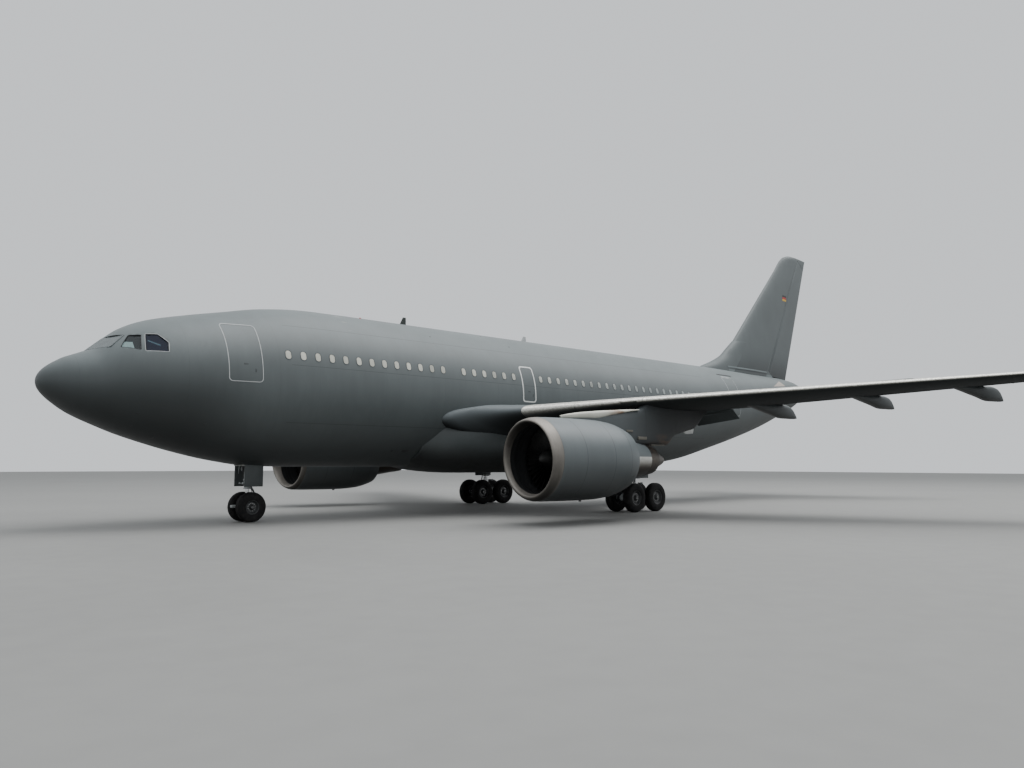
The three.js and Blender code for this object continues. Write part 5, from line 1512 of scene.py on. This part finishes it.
def build_wheels(body, centre, half, track, rim, radius):
    """Twin wheels on one axle: tyres, dished wheels, bolts, vents and the axle between them."""
    tyres, wheels, bolts, vents, axle = (bmesh.new() for _ in range(5))
    for outward in (1, -1):
        hub = centre + Y * outward * track / 1000
        add_tyre(tyres, hub, half, rim, radius)
        add_wheel(wheels, hub, outward, half, rim)
        for bm, (out, ring, size, count, height) in ((bolts, WHEEL_BOLTS), (bolts, CAP_SCREWS), (vents, WHEEL_VENTS)):
            add_bolts(bm, hub, outward, half * out, rim * ring, rim * size, count, height)
    reach = Y * (track - half * 0.2) / 1000
    add_rod(axle, centre - reach, centre + reach, rim * 0.3 / 1000, facets=32)
    piece(f"{body}_tyres", tyres, RUBBER, body, [body])
    for name, bm, finish in (
        ("rims", wheels, HUB_PAINT), ("bolts", bolts, CHROME), ("vents", vents, DARK_FITTING),
        ("axle", axle, STRUT_PAINT),
    ):
        piece(f"{body}_{name}", bm, finish, body)


def add_stages(bm, station, span, stages, facets):
    """Upright stages of a leg."""
    for low, high, radius in stages:
        add_rod(bm, place(station, span, low), place(station, span, high), radius, facets=facets)


def add_link(bm, corners, half, span):
    """Torque link: two bars between each pin and the next, through stations and heights in the plane of the leg."""
    for (start, low), (end, high) in zip(corners, corners[1:]):
        for shift in (-half * 0.62, half * 0.62):
            add_rod(bm, place(start, span + shift, low), place(end, span + shift * 0.55, high), 0.014, 0.011, 12)
    for station, height in corners:
        add_rod(bm, place(station, span - half, height), place(station, span + half, height), 0.017, facets=20)


# Steps of a hose from point to point, and corners of its section
HOSE_STEPS, HOSE_FACETS = 6, 8


def add_hose(bm, points, radius):
    """Bent tube through points, smoothed between them."""
    path = []
    count = len(points)
    for i in range(count - 1):
        before, a = points[max(0, i - 1)], points[i]
        b, after = points[i + 1], points[min(count - 1, i + 2)]
        for t in (k / HOSE_STEPS for k in range(HOSE_STEPS)):
            path.append(0.5 * (2 * a + (b - before) * t + (2 * before - 5 * a + 4 * b - after) * t * t
                               + (3 * a - before - 3 * b + after) * t ** 3))
    path.append(points[-1])
    rings = []
    across = (path[1] - path[0]).orthogonal().normalized()
    for i, point in enumerate(path):
        along = (path[min(i + 1, len(path) - 1)] - path[max(i - 1, 0)]).normalized()
        across = (across - along * across.dot(along)).normalized()
        up = along.cross(across)
        rings.append([point + (across * math.cos(a) + up * math.sin(a)) * radius for a in circle(HOSE_FACETS)])
    add_loft(bm, rings)


def build_nose_gear():
    station, _, height = NOSE_WHEEL_CENTRE
    build_wheels("nose_wheels", place(*NOSE_WHEEL_CENTRE), *NOSE_WHEELS)
    steered, polished, fixed, hoses, low_hoses, lamps, lenses = (bmesh.new() for _ in range(7))
    # Strut that is steered: axle, fork, collars, torque link and towing arm
    add_rod(steered, place(station, -58, height), place(station, 58, height), 0.06, facets=40)
    add_rod(steered, place(station, 0, height + 30), place(station, 0, 420), 0.043, 0.036, 36)
    add_rod(polished, place(station, 0, 400), place(station, 0, 640), 0.032, facets=36)
    add_stages(steered, station, 0, NOSE_STRUT_STAGES, 40)
    add_link(steered, ((station + 52, 615), (station + 140, 475), (station + 44, 345)), 24, 0)
    add_box(steered, place(3165, -26, 246), place(3415, 26, 294), 0.008)
    add_rod(steered, place(3188, -34, 270), place(3188, 34, 270), 0.02, facets=24)
    for y in (-62, 62):
        add_rod(steered, place(station - 5, y, 640), place(station - 120, y, 660), 0.016, facets=16)
    # Leg above it: braces, cross beam and lamps
    add_stages(fixed, station, 0, NOSE_LEG_STAGES, 40)
    add_rod(fixed, place(station - 10, 0, 800), place(station - 110, 0, 1300), 0.026, facets=24)
    add_box(fixed, place(station - 150, -160, 1255), place(station + 190, 160, 1345), 0.012)
    for y in (-52, 52):
        add_rod(fixed, place(station, y, 790), place(station - 70, y * 1.6, 1280), 0.014, facets=16)
    for y in (-LAMP_SPAN, LAMP_SPAN):
        spot = place(station - 62, y, LAMP_HEIGHT)
        add_rod(lamps, spot + X * 0.04, spot, 0.03, 0.044, 32)
        add_rod(lenses, spot, spot - X * 0.006, 0.041, 0.037, 32)
        add_rod(fixed, place(station, 0, LAMP_HEIGHT), place(station - 34, y, LAMP_HEIGHT), 0.012, facets=12)
    for y, start in NOSE_HOSES:
        add_hose(hoses, [place(station - 55, y, start), place(station - 74, y, 920), place(station - 66, y, 800),
                         place(station - 60, y * 0.9, 720)], 0.006)
    for y in (30, -30):
        add_hose(low_hoses, [place(station + 50, y, 600), place(station + 98, y * 1.2, 520),
                             place(station + 60, y, 400), place(station + 20, y * 1.3, 300)], 0.005)
    parts = (
        ("nose_steering_strut", steered, STRUT_PAINT, "nose_strut", "gear_metal", ["nose_steering"]),
        ("nose_oleo", polished, CHROME, "nose_strut", "gear_metal", ()),
        ("nose_gear_leg", fixed, STRUT_PAINT, "airframe", "gear_metal", ["nose_leg"]),
        ("nose_gear_hoses", hoses, HOSE_RUBBER, "airframe", "tyre", ()),
        ("nose_strut_hoses", low_hoses, HOSE_RUBBER, "nose_strut", "tyre", ()),
        ("taxi_lamp_shells", lamps, DARK_FITTING, "airframe", "gear_metal", ()),
        ("taxi_lamp_lenses", lenses, LAMP_GLASS, "airframe", "glass", ()),
    )
    for name, bm, finish, body, slot, replaced in parts:
        piece(name, bm, finish, body, replaced)


def build_nose_bay():
    """Doors of the nose gear's bay, their arms, and the bay's lining."""
    doors = made_by(lambda bm: add_box(bm, place(3302, 186, 602), place(3638, 199, 1000), 0.004))
    arms = bmesh.new()
    for station in (3370, 3570):
        add_rod(arms, place(station, 190, 820), place(station, 150, 1010), 0.009, facets=12)
    low_cut = shaped("door", doors, ("DIFFERENCE", shell(spread(3000, 3900, 12), 0, -400)))
    pair("nose_gear_door_skin", low_cut, BELLY_PAINT, slot="belly_paint", replaces=["nose_gear_door_{}"])
    pair("nose_gear_door_arms", arms, STRUT_PAINT, slot="gear_metal")
    start, end, half, low, high = NOSE_BAY
    bay = made_by(lambda bm: add_box(bm, place(start - 8, -half - 8, 952), place(end + 8, half + 8, high + 8)))
    hollow = made_by(lambda bm: add_box(bm, place(start, -half, low), place(end, half, high)))
    piece("nose_gear_bay", shaped("bay", bay, ("DIFFERENCE", hollow)), BAY_PAINT)


def build_main_gear():
    station, span = MAIN_GEAR
    front, rear = station - BOGIE_HALF, station + BOGIE_HALF
    for row, axle in (("front", front), ("rear", rear)):
        for side, sign in SIDES:
            build_wheels(f"main_wheels_{row}_{side}", place(axle, sign * span, AXLE_HEIGHT), *MAIN_WHEELS)
    beam, brakes, leg, polished, hoses = (bmesh.new() for _ in range(5))
    # Bogie: beam, axles, brakes and brake rods
    add_box(beam, place(front, span - 44, 250), place(rear, span + 44, 350), 0.018, 3)
    for axle in (front, rear):
        add_rod(beam, place(axle, span - 88, AXLE_HEIGHT), place(axle, span + 88, AXLE_HEIGHT), 0.078, facets=40)
        for outward in (1, -1):
            hub = place(axle, span + outward * 92, AXLE_HEIGHT)
            add_rod(brakes, hub, hub + Y * outward * 0.034, 0.112, 0.112, 40)
            for a in circle(8):
                spot = hub + Vector((0.088 * math.cos(a), -outward * 0.016, 0.088 * math.sin(a)))
                add_rod(brakes, spot, spot + Y * outward * 0.02, 0.018, facets=14)
        inward = -1 if axle > station else 1
        for across in (1, -1):
            add_rod(beam, place(axle, span + 66 * across, 372), place(axle + inward * 300, span + 52 * across, 372),
                    0.011, facets=12)
    add_rod(beam, place(station, span - 70, 352), place(station, span + 70, 352), 0.05, facets=32)
    # Leg: stages, side stays, drag stay, cross pin and torque link
    add_stages(leg, station, span, MAIN_LEG_STAGES, 48)
    add_rod(polished, place(station, span, 415), place(station, span, 700), 0.05, facets=48)
    add_rod(leg, place(station, span, 1000), place(station, 1600, 1420), 0.036, 0.03, 24)
    add_rod(leg, place(station, 1990, 1215), place(station, 1500, 1480), 0.042, 0.042, 24)
    add_rod(leg, place(station, span, 820), place(station - 480, span, 1720), 0.034, 0.03, 24)
    add_rod(leg, place(station - 40, span - 90, 1040), place(station - 40, span + 90, 1040), 0.024, facets=20)
    add_link(leg, ((station + 84, 790), (station + 196, 590), (station + 62, 405)), 34, span)
    for shift, radius in MAIN_HOSES:
        y = span + shift
        add_hose(hoses, [place(station - 78, y, 1500), place(station - 88, y, 1100), place(station - 86, y, 760),
                         place(station - 120, y, 560), place(station - 60, y, 440),
                         place(station - 90, span + shift * 0.8, 362)], radius)
    for axle in (front, rear):
        for shift in (-70, 70):
            y = span + shift
            add_hose(hoses, [place(station, span + shift * 0.5, 372), place(blend(station, axle, 0.5), y, 420),
                             place(axle, y, 388)], 0.006)
    pair("bogie_beam", beam, STRUT_PAINT, slot="gear_metal", replaces=["bogie_{}"])
    pair("brake_packs", brakes, DARK_FITTING, slot="gear_metal")
    below_wing = made_by(lambda bm: add_box(bm, place(9800, 1300, 300), place(12000, 3200, 1795)))
    pair("main_gear_leg", shaped("leg", leg, ("INTERSECT", below_wing)), STRUT_PAINT, slot="gear_metal",
         replaces=["main_leg_{}"])
    pair("main_oleo", polished, CHROME, slot="gear_metal")
    pair("main_gear_hoses", hoses, HOSE_RUBBER, slot="tyre")

    door, arms = bmesh.new(), bmesh.new()
    add_box(door, place(station - 258, span + 121, 702), place(station + 258, span + 144, 1800), 0.008)
    for height in (930, 1330):
        add_rod(arms, place(station, span + 84, height), place(station, span + 128, height), 0.022, facets=20)
        low, high = place(station - 200, span + 112, height - 14), place(station + 200, span + 122, height + 14)
        add_box(arms, low, high, 0.003)
    pair("main_gear_door_skin", door, BELLY_PAINT, slot="belly_paint", replaces=["main_gear_door_{}"])
    pair("main_gear_door_arms", arms, STRUT_PAINT, slot="gear_metal")


# Stage and camera

SENSOR_WIDTH, FOCAL_LENGTH, FAR_CLIP = 36, 29.3625, 500
# Where the camera stands, and the directions of its right, top and view
CAMERA_PLACE = Vector((-14.9085, -13.6505, 1.0035))
CAMERA_RIGHT = Vector((0.72880363, -0.68471951, 0.00211046))
CAMERA_UP = Vector((-0.06640638, -0.06761345, 0.99549918))
CAMERA_FORWARD = Vector((0.68149502, 0.72566357, 0.09474667))
# Name, place, width and power of each soft light, aimed at the middle of the plane
LIGHTS = (
    ("top_light", (4, -4, 32), 26, 8300), ("key_light", (-14, -20, 26), 12, 700),
    ("side_light", (26, -9, 27), 16, 2300),
)
AIM = Vector((0, 0, 2))
FLOOR_HALF, FLOOR_LOW, FLOOR_TOP = 90, -0.1, -0.0005
SKY = tone(0.84, 0.87, 0.9)


def build_camera():
    lens = bpy.data.cameras.new("camera")
    lens.sensor_width, lens.lens, lens.clip_end = SENSOR_WIDTH, FOCAL_LENGTH, FAR_CLIP
    camera = bpy.data.objects.new("camera", lens)
    turn = Matrix((CAMERA_RIGHT, CAMERA_UP, -CAMERA_FORWARD)).transposed()
    camera.matrix_world = Matrix.Translation(CAMERA_PLACE) @ turn.to_4x4()
    bpy.context.scene.collection.objects.link(camera)
    bpy.context.scene.camera = camera


def build_stage():
    low, high = Vector((-FLOOR_HALF, -FLOOR_HALF, FLOOR_LOW)), Vector((FLOOR_HALF, FLOOR_HALF, FLOOR_TOP))
    slab = made_by(lambda bm: add_box(bm, low, high))
    floor = object_from("floor", slab, plain_finish("floor", tone(0.28, 0.28, 0.27), 0.8, 0.6, 0.06))
    world = bpy.data.worlds.new("sky")
    world.use_nodes = True
    background = world.node_tree.nodes["Background"]
    background.inputs["Color"].default_value = SKY
    background.inputs["Strength"].default_value = 1.0
    bpy.context.scene.world = world
    for name, spot, size, power in LIGHTS:
        light = bpy.data.lights.new(name, "AREA")
        light.energy, light.size = power, size
        lamp = bpy.data.objects.new(name, light)
        turn = (AIM - Vector(spot)).to_track_quat("-Z", "Y")
        lamp.matrix_world = Matrix.Translation(spot) @ turn.to_matrix().to_4x4()
        bpy.context.scene.collection.objects.link(lamp)


build_camera()
build_stage()
build_fuselage()
build_cockpit()
line_rooms()
build_cargo_doors()
build_cabin_windows()
build_door_outlines()
build_skin_fittings()
build_wings()
build_wing_tips()
build_fairing()
build_fin()
build_fin_marks()
build_tailplane()
build_engines()
build_nose_gear()
build_nose_bay()
build_main_gear()
